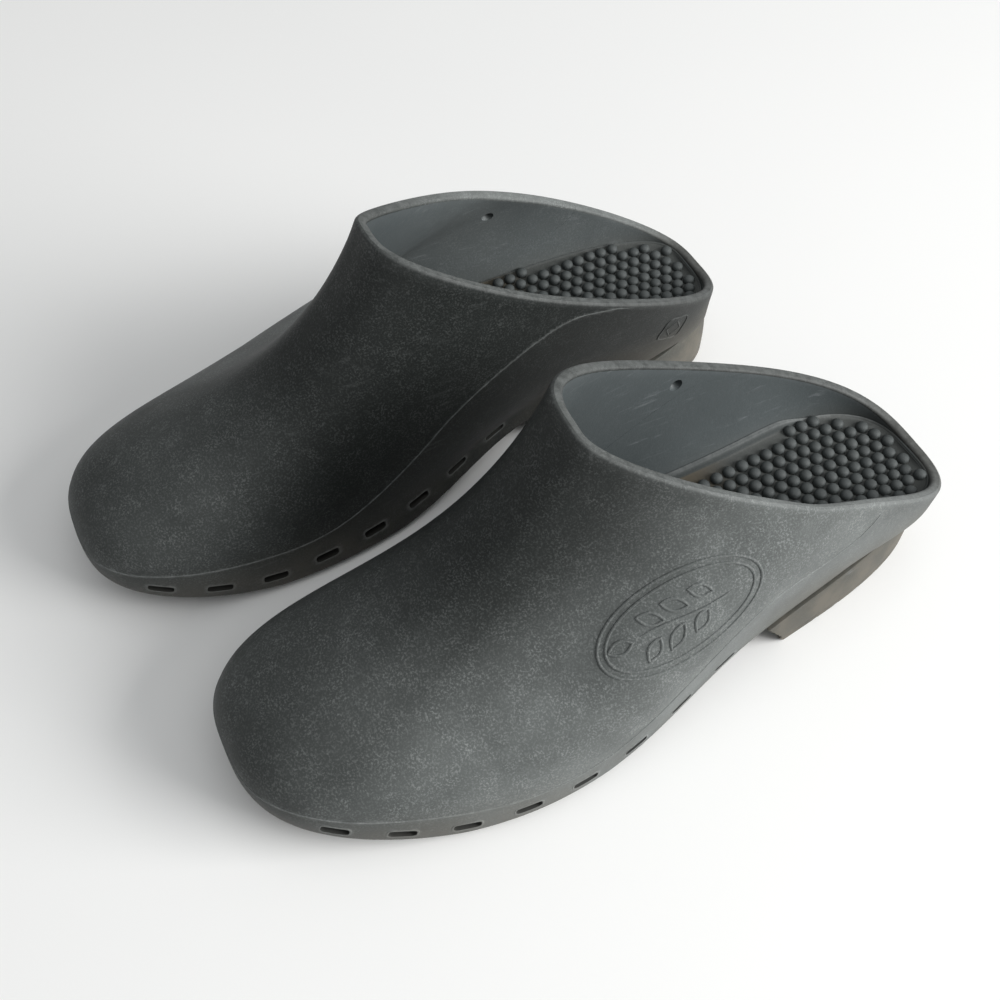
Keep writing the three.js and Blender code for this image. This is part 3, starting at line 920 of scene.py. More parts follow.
@dataclass(frozen=True)
class Rubber:
    """Matte moulded rubber: cloudy colour, fine pale specks, scuffs, and soil low down.

    Attributes:
        name: the material's name.
        base: the rubber's own colour.
        pale: colour of its specks, scuffs, worn edges and painted highlights.
        soil: colour of the soil on it.
        specks: how many of the specks show.
        scuffs: how strongly scuffs show.
        soil_top: height in metres above which no soil lies.
        soil_share: how much the soil covers at the floor.
        film: how much of the pale film covers where the mesh is painted with dust_and_side_light: dust
            on the rubber, and painted light on the outer side that faces the window.
        wear_and_highlight: how much the painted wear and highlights lighten.
        roughness: of the clean rubber.
        grain: depth in metres of the fine grain.
    """

    name: str
    base: Colour
    pale: Colour
    soil: Colour
    specks: float = 0.5
    scuffs: float = 0.3
    soil_top: float = 0.03
    soil_share: float = 0.4
    film: float = 0.5
    wear_and_highlight: float = 0.6
    roughness: float = 0.62
    grain: float = 0.00012

    def build(self) -> Any:
        """Makes the material.

        The colour is the base, clouded by broad noise and greyed by a pale film, which is dust on the
        rubber and painted light on the lit outer side.
        It is then lightened where fine noise peaks (specks), where stretched noise peaks (scuffs) and
        where the mesh is painted with worn edges and painted highlights, and browned where a broad
        noise and the height above the floor allow soil.

        Returns:
            The material.
        """
        g = Graph(self.name)
        clouds = CLOUDS.on(g)
        # the pale film, thickest on the outer side that faces the window: partly real dust and partly
        # painted light on that lit side; it also strengthens the specks there
        dust_and_side_light_share = g.painted("dust_and_side_light") * (FILM_PATCHES.on(g) * 0.5 + 0.5)
        groups = SPECK_GROUPS.on(g)
        fine = g.noise(SPECK_SCALE, 3, 0.7)
        specks = fine.step(*SPECK_RANGE) * (groups * 0.7 + 0.3) * (dust_and_side_light_share * 0.9 + 0.22) * self.specks
        hairs = HAIR_STREAKS.on(g, g.stretched(*HAIRS_TO_THE_METRE, HAIR_TURN))
        scuffs = hairs * SCUFFED_AREAS.on(g) * self.scuffs
        # lightens the rubber where painted: real wear, and on the rim's top, the footbed's border and
        # the nub tops partly a painted highlight
        worn_and_highlit = g.painted("wear_and_highlight") * (WEAR_AND_HIGHLIGHT_PATCHES.on(g) * 0.6 + 0.4) * self.wear_and_highlight
        low = g.height().step(self.soil_top, self.soil_top * 0.15)
        soil = (low * SOIL_PATCHES.on(g) * self.soil_share + g.painted("soil")).clamp()
        colour = g.mix(clouds * 0.32, self.base, tuple(0.72 * c for c in self.base))
        colour = g.mix((dust_and_side_light_share * self.film).clamp(), colour, FILM)
        colour = g.mix((specks + scuffs).clamp(), colour, self.pale)
        colour = g.mix(worn_and_highlit.clamp(), colour, self.pale)
        colour = g.mix(soil, colour, self.soil)
        rough = specks * 0.12 + soil * 0.16 - worn_and_highlit * 0.08 - clouds * 0.05 + self.roughness
        grain = g.bump(fine * 0.6 + g.noise(700, 3) * 0.8, 0.55, self.grain)
        lumps = g.bump(g.noise(120, 2), 0.25, self.grain * 3, grain)
        return g.finish(Base_Color=colour, Roughness=rough.clamp(), Normal=lumps, IOR=1.38)


PALE = (0.27, 0.285, 0.28)
# colour of the pale film, which is dust and, on the lit outer side, painted light
FILM = (0.148, 0.16, 0.156)
SOIL = (0.115, 0.106, 0.088)


class Finish(Enum):
    """The finishes of the clogs' pieces."""

    UPPER = Rubber(
        "rubber_upper", (0.013, 0.0155, 0.0145), PALE, SOIL,
        soil_top=0.02, soil_share=0.2, film=0.85, scuffs=0.1, specks=0.75,
    )
    # the inside of the same moulded rubber: smoother and bluish, and much lighter than the outside,
    # which paints in the light that falls inside the clog
    LIT_INSIDE_WALL = Rubber(
        "rubber_inside_wall_painted_light", (0.074, 0.086, 0.089), (0.27, 0.29, 0.3), SOIL,
        specks=0.3, scuffs=0.4, soil_top=0.01, soil_share=0.0, roughness=0.5,
    )
    SOLE = Rubber(
        "rubber_sole_unit", (0.016, 0.018, 0.017), PALE, SOIL,
        soil_top=0.03, soil_share=0.25, film=0.85, scuffs=0.1,
    )
    FOOTBED = Rubber(
        "rubber_footbed", (0.052, 0.059, 0.059), (0.25, 0.262, 0.26), (0.085, 0.07, 0.048),
        specks=0.35, scuffs=0.15, soil_top=0.001, soil_share=0.0, roughness=0.66,
    )
    HEEL = Rubber("rubber_heel", (0.05, 0.052, 0.046), PALE, SOIL, soil_top=0.05, soil_share=0.8)
    # the drain slots' cut faces: rubber a little darker than the sole's, whose specks, worn edges and
    # soil stay dark
    SLOT_INSIDE = Rubber(
        "rubber_slot_inside", (0.012, 0.012, 0.01), (0.05, 0.05, 0.045), (0.02, 0.018, 0.015),
    )
    TREAD = Rubber("rubber_tread", (0.03, 0.032, 0.03), PALE, SOIL, soil_top=0.02, soil_share=0.9)


class Paintbox:
    """Builds each finish's material once."""

    def __init__(self) -> None:
        """Starts with none."""
        self.made: Dict[Finish, Any] = {}

    def __getitem__(self, finish: Finish) -> Any:
        """The material of a finish."""
        if finish not in self.made:
            self.made[finish] = finish.value.build()
        return self.made[finish]


# ---- raised designs --------------------------------------------------------------------------


def oval(length: float, width: float, turn: float, count: int = 84) -> Array:
    """A flat ellipse about the middle, turned anticlockwise by an angle."""
    t = np.linspace(0, 2 * np.pi, count, endpoint=False)
    return turned(vec(length / 2 * np.cos(t), width / 2 * np.sin(t)), turn)


def stadium(
    length: float, width: float, blunt: float = 0.279, full: float = 0.675, count: int = 40
) -> Array:
    """A flat slot outline: a superellipse, squarer where an exponent is smaller.

    Args:
        length: from end to end, in millimetres.
        width: across it, in millimetres.
        blunt: exponent of the cosine along it, which squares its ends.
        full: exponent of the sine across it, which rounds its corners.
        count: how many points.

    Returns:
        The points, anticlockwise about the middle.
    """
    t = np.linspace(0, 2 * np.pi, count, endpoint=False)
    along = length / 2 * signed_power(np.cos(t), blunt)
    return vec(along, width / 2 * signed_power(np.sin(t), full))


def leaf(base: Tuple[float, float], length: float, width: float, turn: float, count: int = 15) -> Array:
    """A flat leaf outline: a sine's hump on each side of a line from its base.

    Args:
        base: the point that it grows from.
        length: from base to tip.
        width: across its middle.
        turn: angle of its middle line.
        count: points on each side.

    Returns:
        The points in order round.
    """
    t = np.linspace(0, 1, count)
    hump = width / 2 * np.sin(np.pi * t) ** 0.9
    side = vec(t * length, hump)
    other = vec(t * length, -hump)[-2:0:-1]
    return turned(np.concatenate([side, other]), turn) + np.array(base)


def turned(flat: Array, angle: float) -> Array:
    """Flat points turned anticlockwise."""
    c, s = math.cos(angle), math.sin(angle)
    return vec(flat[..., 0] * c - flat[..., 1] * s, flat[..., 0] * s + flat[..., 1] * c)


@dataclass(frozen=True)
class Relief:
    """Raised lines laid on the wall about one place."""

    degrees: float
    share: float
    loops: Tuple[Array, ...]
    lines: Tuple[Array, ...] = ()
    half: float = 0.55
    proud: float = 0.45

    def add(self, skin: Skin, form: ClogForm) -> Array:
        """Adds the lines to a skin and returns the points that they follow.

        Args:
            skin: where the faces go.
            form: the clog's form.

        Returns:
            The points in millimetres.
        """
        marks = []
        for flat, closed in [(f, True) for f in self.loops] + [(f, False) for f in self.lines]:
            at, share = form.shoot(math.radians(self.degrees), self.share, flat)
            path, out = form.wall(at, share), form.normal(at, share)
            bead(skin, path, out, self.half, self.proud, closed)
            marks.append(path)
        return np.concatenate(marks)


def sprig(turn: float) -> Relief:
    """The side's raised badge: a sprig of leaves inside an oval.

    Args:
        turn: angle of the badge's length.

    Returns:
        The badge, for the outer side.
    """
    stem = turned(vec(np.linspace(-19, 15, 22), 1.6 * np.sin(np.linspace(-2.2, 1.6, 22))), turn)
    leaves = [leaf((17.5, 1.2), 8.5, 4.4, 0.1)]
    for place, way in ((-13.0, 1), (-4.0, 1), (5.0, 1), (-9.0, -1), (0.0, -1), (9.0, -1)):
        leaves.append(leaf((place, way * 2.2), 9.6 - abs(place) * 0.12, 4.2, way * 0.62))
    loops = [oval(60, 30, turn), oval(54.5, 25, turn)] + [turned(each, turn) for each in leaves]
    return Relief(109.5, 0.63, tuple(loops), (stem,))


def plain_mark() -> Relief:
    """The small raised frame near the inner rim, with a plain lozenge in it.

    Returns:
        The mark, for the inner side.
    """
    half, reach, turn = 6.2, 4.0, 0.35
    frame_ring = turned(stadium(2 * half, 2 * half, 0.45, 0.45, 48), turn)
    lozenge = np.array([[reach, 0], [0, reach], [-reach, 0], [0, -reach]])
    t = np.linspace(0, 4, 32, endpoint=False)
    whole = t.astype(int)
    diamond = lozenge[whole] + (lozenge[(whole + 1) % 4] - lozenge[whole]) * (t - whole)[:, None]
    return Relief(307, 0.8, (frame_ring, turned(diamond, turn)), half=0.4, proud=0.35)


# ---- the moulded shell: upper and sole unit --------------------------------------------------


@dataclass
class Clog:
    """What the pieces of one clog share: its form, its place and the materials."""

    form: ClogForm
    stand: Stand
    paints: Paintbox

    @property
    def side(self) -> str:
        """The side's word, with which node and body names start."""
        return self.stand.side.value

    def seat(self, piece: Any, node: str, slot: str) -> None:
        """Lets a piece stand for a node of this clog and move with it.

        Args:
            piece: the finished object.
            node: the node's name after the side's word.
            slot: the record's material slot; not used.
        """
        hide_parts(f"{self.side}_{node}")
        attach(piece, f"{self.side}_clog")
        log.info("%s: %d faces, for %s_%s", piece.name, len(piece.data.polygons), self.side, node)


@dataclass
class Shell:
    """The moulded shell, cut into the upper and the sole unit along the moulding line."""

    clog: Clog
    columns: int = 560
    rows: int = 78
    inner_rows: int = 46
    edge_round: float = 1.8
    heel_round: float = 0.4
    roll: float = 0.2
    lip_rise: float = 0.72
    parting: float = 0.16
    hairline: float = 0.05
    badge_turn: float = -0.46
    slots_per_side: int = 8
    slot_length: float = 9.6
    slot_heights: Tuple[float, float] = (4.5, 3.5)
    slot_lifts: Tuple[float, float] = (8.0, 7.4)
    slot_starts: Tuple[float, float] = (48.2, 42)
    slot_pitches: Tuple[float, float] = (21.6, 20.6)
    dimples: Tuple[Tuple[float, float], ...] = ((259, 0.935), (90, 0.75))
    dimple_radius: float = 2.6
    dimple_depth: float = 1.1
    dimple_set_in: float = 0.5
    slot_lip_margin: float = 0.7
    slot_lip: Tuple[float, float] = (0.42, 0.2)
    slot_reach_out: float = 4
    slot_reach_through: float = 14
    flash_size: Tuple[float, float] = (0.3, 0.3)
    flash_lift: float = 0.42
    flash_stop: float = 2.4
    # lines whose nearness lightens the rubber; the rim's line is wear and a painted highlight on the
    # rim's top
    worn_and_highlit_lines: Tuple[Tuple[str, float, float], ...] = (
        ("rim", 0.55, 4.2), ("flash", 0.95, 0.75), ("lips", 0.8, 1.2), ("badge", 0.28, 0.9),
    )

    def body(self) -> Any:
        """The whole shell as one closed body.

        Outside rows rise from a rounded lower edge (a quarter circle drawn in from the wall) to the
        rim, whose lip is a flattened half ellipse with the mould's parting line on it; inside rows
        follow the outside at the wall's thickness down to the floor; straight lines close both
        undersides.

        Returns:
            The body, with the outer finish in slot 0 and the inner in slot 1, whose lighter rubber
            paints in the light inside the clog.
        """
        form = self.clog.form
        phi = np.arange(self.columns) * 2 * np.pi / self.columns
        x = form.outline(phi)[:, 0]
        radius = self.heel_round + (self.edge_round - self.heel_round) * smooth((x - 78) / 24)
        quarter = np.linspace(0, np.pi / 2, 6)[:, None]
        rise, inset = radius * (1 - np.cos(quarter)), radius * (1 - np.sin(quarter))
        low = [form.share_at(phi, 0, lambda at, h=h: form.edge_height(at) + h) for h in rise]
        low[0] = np.zeros_like(phi)
        out = form.outwards(phi)
        level = vec(out[:, 0], out[:, 1], 0)
        rounded = [form.wall(phi, v) - level * drawn_in[:, None] for v, drawn_in in zip(low, inset)]

        speed = form.climb(phi, 1)
        thick = form.wall_thickness + self.roll
        top = 1 - thick / 2 / speed
        t = np.linspace(0, 1, self.rows)[1:, None]
        v = low[-1] + (top - low[-1]) * t
        outer = np.concatenate([rounded, form.wall(phi, v)])
        normal = np.concatenate([np.zeros((6, self.columns, 3)), form.normal(phi, v)])
        steps = np.linalg.norm(np.diff(outer, axis=0), axis=-1)
        below = np.concatenate([np.cumsum(steps[::-1], 0)[::-1], np.zeros((1, self.columns))])
        outer = outer + normal * (self.roll * smooth(1 - below / 7))[..., None]

        thickness = form.wall_thickness
        floor = form.share_at(phi, thickness, lambda at: form.edge_height(at) + form.floor_thickness)
        u = np.linspace(0, 1, self.inner_rows)[:, None]
        w = top + (floor - top) * u
        inner = form.inside(phi, w, form.wall_thickness)

        n = form.normal(phi, top)
        up = unit(form.wall(phi, top) - form.wall(phi, top - 0.01))
        centre = (outer[-1] + inner[0]) / 2
        arc = np.linspace(0, np.pi, 26)[1:-1, None, None]
        reach = thick / 2 + self.parting * np.exp(-((arc - 1.15) / 0.13) ** 2)
        sideways, upwards = signed_power(np.cos(arc), 0.8), self.lip_rise * np.sin(arc) ** 0.8
        lip = centre + reach * (n * sideways + up * upwards)

        skin = Skin()
        skin.cover(outer[0], 14)
        skin.grid(np.concatenate([outer, lip, inner[:1]]), True)
        skin.grid(inner, True, 1)
        skin.cover(inner[-1], 6, 1)
        paints = self.clog.paints
        both = [paints[Finish.UPPER], paints[Finish.LIT_INSIDE_WALL]]
        return skin.build(f"{self.clog.side}_shell", self.clog.stand, both)

    def above_seam(self, shift: float) -> Any:
        """A block over everything above the moulding line, moved up and forward by a shift.

        On each side it is the region between the seam's curve and a ceiling, carried sideways.

        Args:
            shift: in millimetres, along the clog and up.

        Returns:
            The block.
        """
        form = self.clog.form
        halves = []
        for knots, reach in ((form.lateral_seam, 100.0), (form.medial_seam, -100.0)):
            curve = seam_curve(knots) + shift
            low, high = vec(curve[:, 0], 0, curve[:, 1]), vec(curve[:, 0], 0, 300)
            across = np.array([0, reach, 0])
            skin = Skin()
            skin.grid(np.stack([low, high, high + across, low + across]).transpose(1, 0, 2), True)
            skin.cap(np.stack([low[0], high[0], high[0] + across, low[0] + across]))
            skin.cap(np.stack([low[-1], high[-1], high[-1] + across, low[-1] + across]))
            halves.append(skin.build("block", self.clog.stand, []))
        carve(halves[0], halves[1], "UNION")
        return halves[0]

    def slot_places(self) -> List[Tuple[float, float, float, float]]:
        """Angle, share, tilt and height of each drain slot, at equal distances along the outline.

        The tilt is the slope of the sole's edge under the slot.

        Returns:
            One tuple a slot, the outer side first.
        """
        form, found = self.clog.form, []
        sizes = zip(self.slot_starts, self.slot_pitches, (-1, 1), self.slot_heights, self.slot_lifts)
        for start, pitch, way, tall, lift in sizes:
            phi = np.pi + way * np.linspace(0, np.pi, 401)
            run = np.cumsum(np.linalg.norm(np.diff(form.outline(phi), axis=0), axis=1))
            angles = np.interp(start + pitch * np.arange(self.slots_per_side), run, phi[1:])
            shares = form.share_at(angles, 0, lambda at, up=lift: form.edge_height(at) + up)
            ahead, behind = form.outline(angles + 0.02), form.outline(angles - 0.02)
            gained = form.edge_height(ahead[:, 0]) - form.edge_height(behind[:, 0])
            toward_toe = np.where(ahead[:, 0] > behind[:, 0], 1, -1)
            slopes = np.arctan2(gained * toward_toe, np.linalg.norm(ahead - behind, axis=1))
            tilts = slopes * np.clip(np.abs(ahead - behind)[:, 0], 0, 1)
            found += [(*place, tall) for place in zip(angles, shares, tilts)]
        return found

    def slots(self) -> Tuple[Any, Any, Array]:
        """Lips and cutters of the drain slots, and the points along their lips.

        Returns:
            The lips, the cutters and the points.
        """
        form, stand = self.clog.form, self.clog.stand
        lips, cutters, marks, margin = Skin(), Skin(), [], self.slot_lip_margin
        for phi, share, tilt, tall in self.slot_places():
            lip = stadium(self.slot_length + margin, tall + margin)
            at, v = form.shoot(phi, share, turned(lip, tilt))
            path, out = form.wall(at, v), form.normal(at, v)
            bead(lips, path, out, *self.slot_lip, True)
            marks.append(path)
            at, v = form.shoot(phi, share, turned(stadium(self.slot_length, tall), tilt))
            ring, straight = form.wall(at, v), form.normal(phi, share)
            cutters.prism(ring + straight * self.slot_reach_out, -straight * self.slot_reach_through, 2)
        paints = [self.clog.paints[finish] for finish in (Finish.SOLE, Finish.LIT_INSIDE_WALL, Finish.SLOT_INSIDE)]
        made = lips.build("lips", stand, paints), cutters.build("cutters", stand, paints)
        return (*made, np.concatenate(marks))

    def dimple_cutter(self) -> Any:
        """Balls that press a blind dimple into the inside of each wall, a little deeper than wide.

        Returns:
            The balls as one object.
        """
        form, skin = self.clog.form, Skin()
        for degrees, share in self.dimples:
            phi = math.radians(degrees)
            out = form.normal(phi, share)
            level = unit(np.cross([0.0, 0.0, 1.0], out))
            rise = np.cross(out, level)
            turn = np.linspace(0, 2 * np.pi, 24, endpoint=False)
            circle = level * np.cos(turn)[:, None] + rise * np.sin(turn)[:, None]
            tilt = np.linspace(0, np.pi, 13)[:, None, None]
            reach = out * np.cos(tilt) * self.dimple_depth + circle * np.sin(tilt)
            middle = form.inside(phi, share, form.wall_thickness + self.dimple_set_in)
            skin.grid(middle + reach * self.dimple_radius, True, 1)
        paints = self.clog.paints
        return skin.build("dimples", self.clog.stand, [paints[Finish.UPPER], paints[Finish.LIT_INSIDE_WALL]])

    def relief(self, design: Relief) -> Tuple[Any, Array]:
        """A raised design as an object, and the points that its lines follow."""
        skin = Skin()
        marks = design.add(skin, self.clog.form)
        return skin.build("relief", self.clog.stand, [self.clog.paints[Finish.UPPER]]), marks

    def flash(self) -> Tuple[Any, Array]:
        """The thin ridge of rubber along the moulding line, and the points along it.

        Returns:
            The ridge and the points along it.
        """
        form = self.clog.form
        at, share = form.seam_route()
        speed = form.climb(at, share)
        lifted = np.minimum(share + self.flash_lift / speed, 1 - self.flash_stop / speed)
        path, out = form.wall(at, lifted), form.normal(at, lifted)
        skin = Skin()
        bead(skin, path, out, *self.flash_size, False)
        return skin.build("flash", self.clog.stand, [self.clog.paints[Finish.UPPER]]), path

    def parts(self) -> Tuple[Any, Any]:
        """The body cut in two along the moulding line.

        Returns:
            The upper and the sole's shell.
        """
        upper = self.body()
        sole = copy_of(upper, f"{self.clog.side}_sole_shell")
        upper.name = f"{self.clog.side}_vamp"
        carve(sole, self.above_seam(0), "DIFFERENCE")
        carve(upper, self.above_seam(self.hairline), "INTERSECT")
        return upper, sole

    def detail(self, upper: Any, sole: Any) -> Dict[str, Array]:
        """Adds the moulding ridge, badge, mark, dimples and drain slots.

        Args:
            upper: the upper.
            sole: the sole's shell.

        Returns:
            The points along each kind of worn and highlit line, in metres.
        """
        form = self.clog.form
        flash, flash_marks = self.flash()
        badge, badge_marks = self.relief(sprig(self.badge_turn))
        mark, mark_marks = self.relief(plain_mark())
        lips, cutters, lip_marks = self.slots()
        carve(upper, flash, "UNION")
        carve(upper, badge, "UNION")
        carve(upper, self.dimple_cutter(), "DIFFERENCE")
        carve(sole, mark, "UNION")
        sole.data.materials.append(self.clog.paints[Finish.SLOT_INSIDE])
        carve(sole, lips, "UNION")
        carve(sole, cutters, "DIFFERENCE")
        sole.data.materials[0] = self.clog.paints[Finish.SOLE]

        # the rim's line: wear and a painted highlight along the rim's top
        phi = np.linspace(0, 2 * np.pi, 480, endpoint=False)
        rim = form.rim(phi) - form.normal(phi, 1) * form.wall_thickness / 2
        lines = {
            "rim": rim, "flash": flash_marks, "lips": lip_marks,
            "badge": np.concatenate([badge_marks, mark_marks]),
        }
        return {name: self.clog.stand.place(points) for name, points in lines.items()}

    def build(self) -> None:
        """Makes both pieces and paints worn lines with painted highlights on the rim, soil, and a pale
        film of dust and painted side light.
        """
        upper, sole = self.parts()
        marks = self.detail(upper, sole)
        for piece in (upper, sole):
            shade(piece, 35)
            points = coordinates(piece)
            wear_and_highlight = [
                share * nearness(points, marks[name], reach * MM)
                for name, share, reach in self.worn_and_highlit_lines
            ]
            paint(piece, "wear_and_highlight", np.maximum.reduce(wear_and_highlight))
            paint(piece, "soil", self.soil(points))
            # the pale film's share: dust, and painted light on the outer side that faces the window
            paint(piece, "dust_and_side_light", self.dust_and_side_light(self.clog.stand.unplace(points)))
        self.clog.seat(upper, "upper_shell", "upper")
        self.clog.seat(sole, "sole_unit", "sole")

    def dust_and_side_light(self, own: Array) -> Array:
        """Share of the pale film at points in the clog's own frame, partly dust and partly painted
        light on the lit side: thickest on the outer side, some on the toe.

        Args:
            own: rows of points in the clog's own frame.

        Returns:
            One share a point.
        """
        outer = smooth((own[:, 1] - 6) / 32) * (1 - 0.45 * smooth((own[:, 0] - 200) / 50))
        toe = 0.36 * smooth((own[:, 0] - 175) / 60)
        return np.maximum(0.02, np.maximum(outer, toe))

    def soil(self, points: Array) -> Array:
        """Share of soil at points in the model's frame: on the sole's side at the heel and toe.

        It fades upwards over the band of the sole and is strongest round the back of the heel.

        Args:
            points: rows of points in metres.

        Returns:
            One share a point.
        """
        length = self.clog.form.sole_length
        heel = self.clog.stand.place(np.array([[0.0, 0, 0], [length, 0, 0]]))
        along = (points - heel[0]) @ (heel[1] - heel[0]) / ((heel[1] - heel[0]) ** 2).sum() * length
        height = points[:, 2] / MM
        back = smooth((110 - along) / 50) * smooth((52 - height) / 26)
        front = smooth((along - 150) / 60) * smooth((30 - height) / 20)
        return 0.5 * back + 0.3 * front


# ---- footbed ---------------------------------------------------------------------------------


@dataclass
class Footbed:
    """The nubbed footbed, with a smooth raised border along the inner wall."""

    clog: Clog
    columns: int = 400
    gap: float = 0.1
    border: float = 3.4
    border_starts: float = 30
    outer_border: float = 0.5
    border_width: float = 0.6
    border_slope: float = 0.7
    border_rows: int = 10
    pitch: float = 5.5
    radius: float = 2.52
    height: float = 2.5
    field_inset: float = 1.22
    ring_radii: Tuple[float, ...] = (0.9, 1.0, 0.93, 0.62)
    ring_heights: Tuple[float, ...] = (-0.35, 0.2, 0.6, 0.9)
    wander: float = 0.09
    segments: int = 10
    seed: int = 7

    def edge_above(self, phi: Array, x: Array) -> Array:
        """How far the border stands over the footbed's edge: high along the inner wall only.

        Args:
            phi: angles round the clog.
            x: distances from the heel.

        Returns:
            Heights in millimetres.
        """
        inner = smooth((0.25 - np.sin(phi)) / 0.75) * smooth((x - self.border_starts) / 16)
        return self.outer_border + (self.border - self.outer_border) * inner * smooth((230 - x) / 90)

    def edge_ring(self, phi: Array) -> Array:
        """The border's top along the wall.

        Args:
            phi: angles round the clog.

        Returns:
            One point an angle.
        """
        form = self.clog.form
        depth = form.wall_thickness + self.gap

        def top(at: Array) -> Array:
            """Height of the border's top at a distance from the heel."""
            return form.footbed_height(at) + form.footbed_curl + self.edge_above(phi, at)

        return form.inside(phi, form.share_at(phi, depth, top), depth)

    def field_height(self, points: Array) -> Array:
        """Height of the nubs' ground: the middle line's height, curled up towards both edges.

        Args:
            points: points in the clog's own frame.

        Returns:
            One height a point.
        """
        form = self.clog.form
        x, y = points[..., 0], points[..., 1]
        order = np.argsort(self.ground[:, 0])
        lateral = self.ground[order][self.ground[order][:, 1] >= self.middle(self.ground[order][:, 0])]
        medial = self.ground[order][self.ground[order][:, 1] < self.middle(self.ground[order][:, 0])]
        left = np.interp(x, lateral[:, 0], lateral[:, 1])
        right = np.interp(x, medial[:, 0], medial[:, 1])
        share = (left - y) / np.maximum(left - right, 1)
        sag = sag_across(share, left - right, form.footbed_curl)
        return form.footbed_height(x) + form.footbed_curl + sag

    def middle(self, x: Array) -> Array:
        """The middle line of the sole in plan."""
        form = self.clog.form
        return form.toe_lean * (x / form.sole_length) ** 2

    def body(self) -> Any:
        """The footbed without its nubs: side, rounded border, ground and underside.

        Returns:
            The footbed, still smooth.
        """
        form = self.clog.form
        phi = np.arange(self.columns) * 2 * np.pi / self.columns
        ring = self.edge_ring(phi)
        out = form.outwards(phi)
        above = self.edge_above(phi, ring[:, 0])
        width = self.border_width + self.border_slope * above
        rows = []
        for part in np.linspace(0, 1, self.border_rows):
            moved = ring[:, :2] - out * (0.15 + width * part)[:, None]
            ease = smooth((part - 0.42) / 0.55)
            ground = form.footbed_height(moved[:, 0]) + form.footbed_curl
            lift = above * (1 - ease) + 0.35 * (1 - part) ** 3 - 0.1 * (part == 0)
            rows.append(vec(moved[:, 0], moved[:, 1], ground + lift))
        self.ground = rows[-1]
        under = form.wall_thickness + self.gap
        share = form.share_at(phi, under, lambda at: form.footbed_height(at) - form.footbed_thickness)
        low = form.inside(phi, share, under)
        side = ring - vec(0, 0, 0.5)
        skin = Skin()
        skin.grid(np.stack([low, side, *rows]), True)
        skin.cover(rows[-1], 30, 0, form.footbed_curl)
        skin.cover(low, 4)
        paints = [self.clog.paints[Finish.FOOTBED]]
        return skin.build(f"{self.clog.side}_nubbed_footbed", self.clog.stand, paints)

    def nubs(self) -> Any:
        """Domes in a honeycomb over the ground: a few rings and a point each.

        Their heights and places vary a little, from a seeded generator.

        Returns:
            The nubs as one object, each a closed dome.
        """
        rows = np.arange(-16, 17)
        column, row = np.meshgrid(np.arange(0, 54), rows)
        x = (column + (row % 2) / 2) * self.pitch
        y = row * self.pitch * math.sqrt(3) / 2
        places = vec(x, y).reshape(-1, 2)
        edge = self.ground[:, :2] - ring_out_of(self.ground) * self.field_inset
        places = places[within(places, edge)]
        dice = np.random.default_rng(self.seed)
        places = places + dice.normal(0, self.wander, places.shape)
        size = dice.uniform(0.95, 1.0, len(places))
        tall = dice.uniform(0.9, 1.06, len(places))
        ground = self.field_height(places)
        radii = np.array(self.ring_radii) * self.radius
        heights = np.array(self.ring_heights) * self.height
        turn = np.arange(self.segments) * 2 * np.pi / self.segments
        circle = vec(np.cos(turn), np.sin(turn))
        spokes = (radii[None, :, None, None] * circle) * size[:, None, None, None]
        rings = places[:, None, None] + spokes
        levels = ground[:, None] + heights * tall[:, None]
        points = vec(rings[..., 0], rings[..., 1], levels[..., None])
        tips = vec(places[:, 0], places[:, 1], ground + self.height * tall)[:, None, None]
        feet = vec(places[:, 0], places[:, 1], levels[:, 0])[:, None, None]
        spread = (1, 1, self.segments, 1)
        points = np.concatenate([np.tile(feet, spread), points, np.tile(tips, spread)], 1)
        skin = Skin()
        for nub in points:
            skin.grid(nub, True)
        log.info("%s footbed: %d nubs", self.clog.side, len(points))
        return skin.build("nubs", self.clog.stand, [self.clog.paints[Finish.FOOTBED]])

    def build(self) -> None:
        """Makes the footbed, with dirt between the front nubs, and a painted highlight, partly polish,
        along the inner border and on the nub tops.
        """
        bed = self.body()
        carve(bed, self.nubs(), "UNION")
        shade(bed, 50)
        own = self.clog.stand.unplace(coordinates(bed))
        height = own[:, 2] - self.field_height(own)
        ground = smooth(1 - height / 0.9)
        border = nearness(own, self.edge_ring(np.linspace(0, 2 * np.pi, 400)) - vec(0, 0, 0.3), 2.2)
        inner = smooth((self.middle(own[:, 0]) - own[:, 1] - 8) / 10)
        # painted highlight: lighter along the inner border's top and on the nub tops, partly polished
        # rubber and partly light falling on them
        paint(bed, "wear_and_highlight", 0.9 * border * inner + 0.2 * smooth((height - 1.6) / 1.0))
        paint(bed, "soil", ground * (0.12 + 0.75 * smooth((own[:, 0] - 66) / 22)))
        self.clog.seat(bed, "massage_footbed", "footbed")


def ring_out_of(ring: Array) -> Array:
    """Unit vectors out of an outline in plan that may run either way round."""
    x, y = ring[:, 0], ring[:, 1]
    area = np.sum(x * np.roll(y, -1) - np.roll(x, -1) * y)
    return ring_out(ring[:, :2]) * (1 if area > 0 else -1)


def within(places: Array, edge: Array) -> Array:
    """Which places lie inside an outline: a line from each crosses it an odd number of times.

    Args:
        places: points in plan.
        edge: the outline, in order.

    Returns:
        One truth value a place.
    """
    x, y = places[:, :1], places[:, 1:]
    x0, y0 = edge[:, 0], edge[:, 1]
    x1, y1 = np.roll(x0, -1), np.roll(y0, -1)
    spans = (y0 > y) != (y1 > y)
    rise = np.where(np.abs(y1 - y0) < 1e-12, 1e-12, y1 - y0)
    return (spans & (x < x0 + (y - y0) * (x1 - x0) / rise)).sum(1) % 2 == 1


# ---- heel and treads -------------------------------------------------------------------------


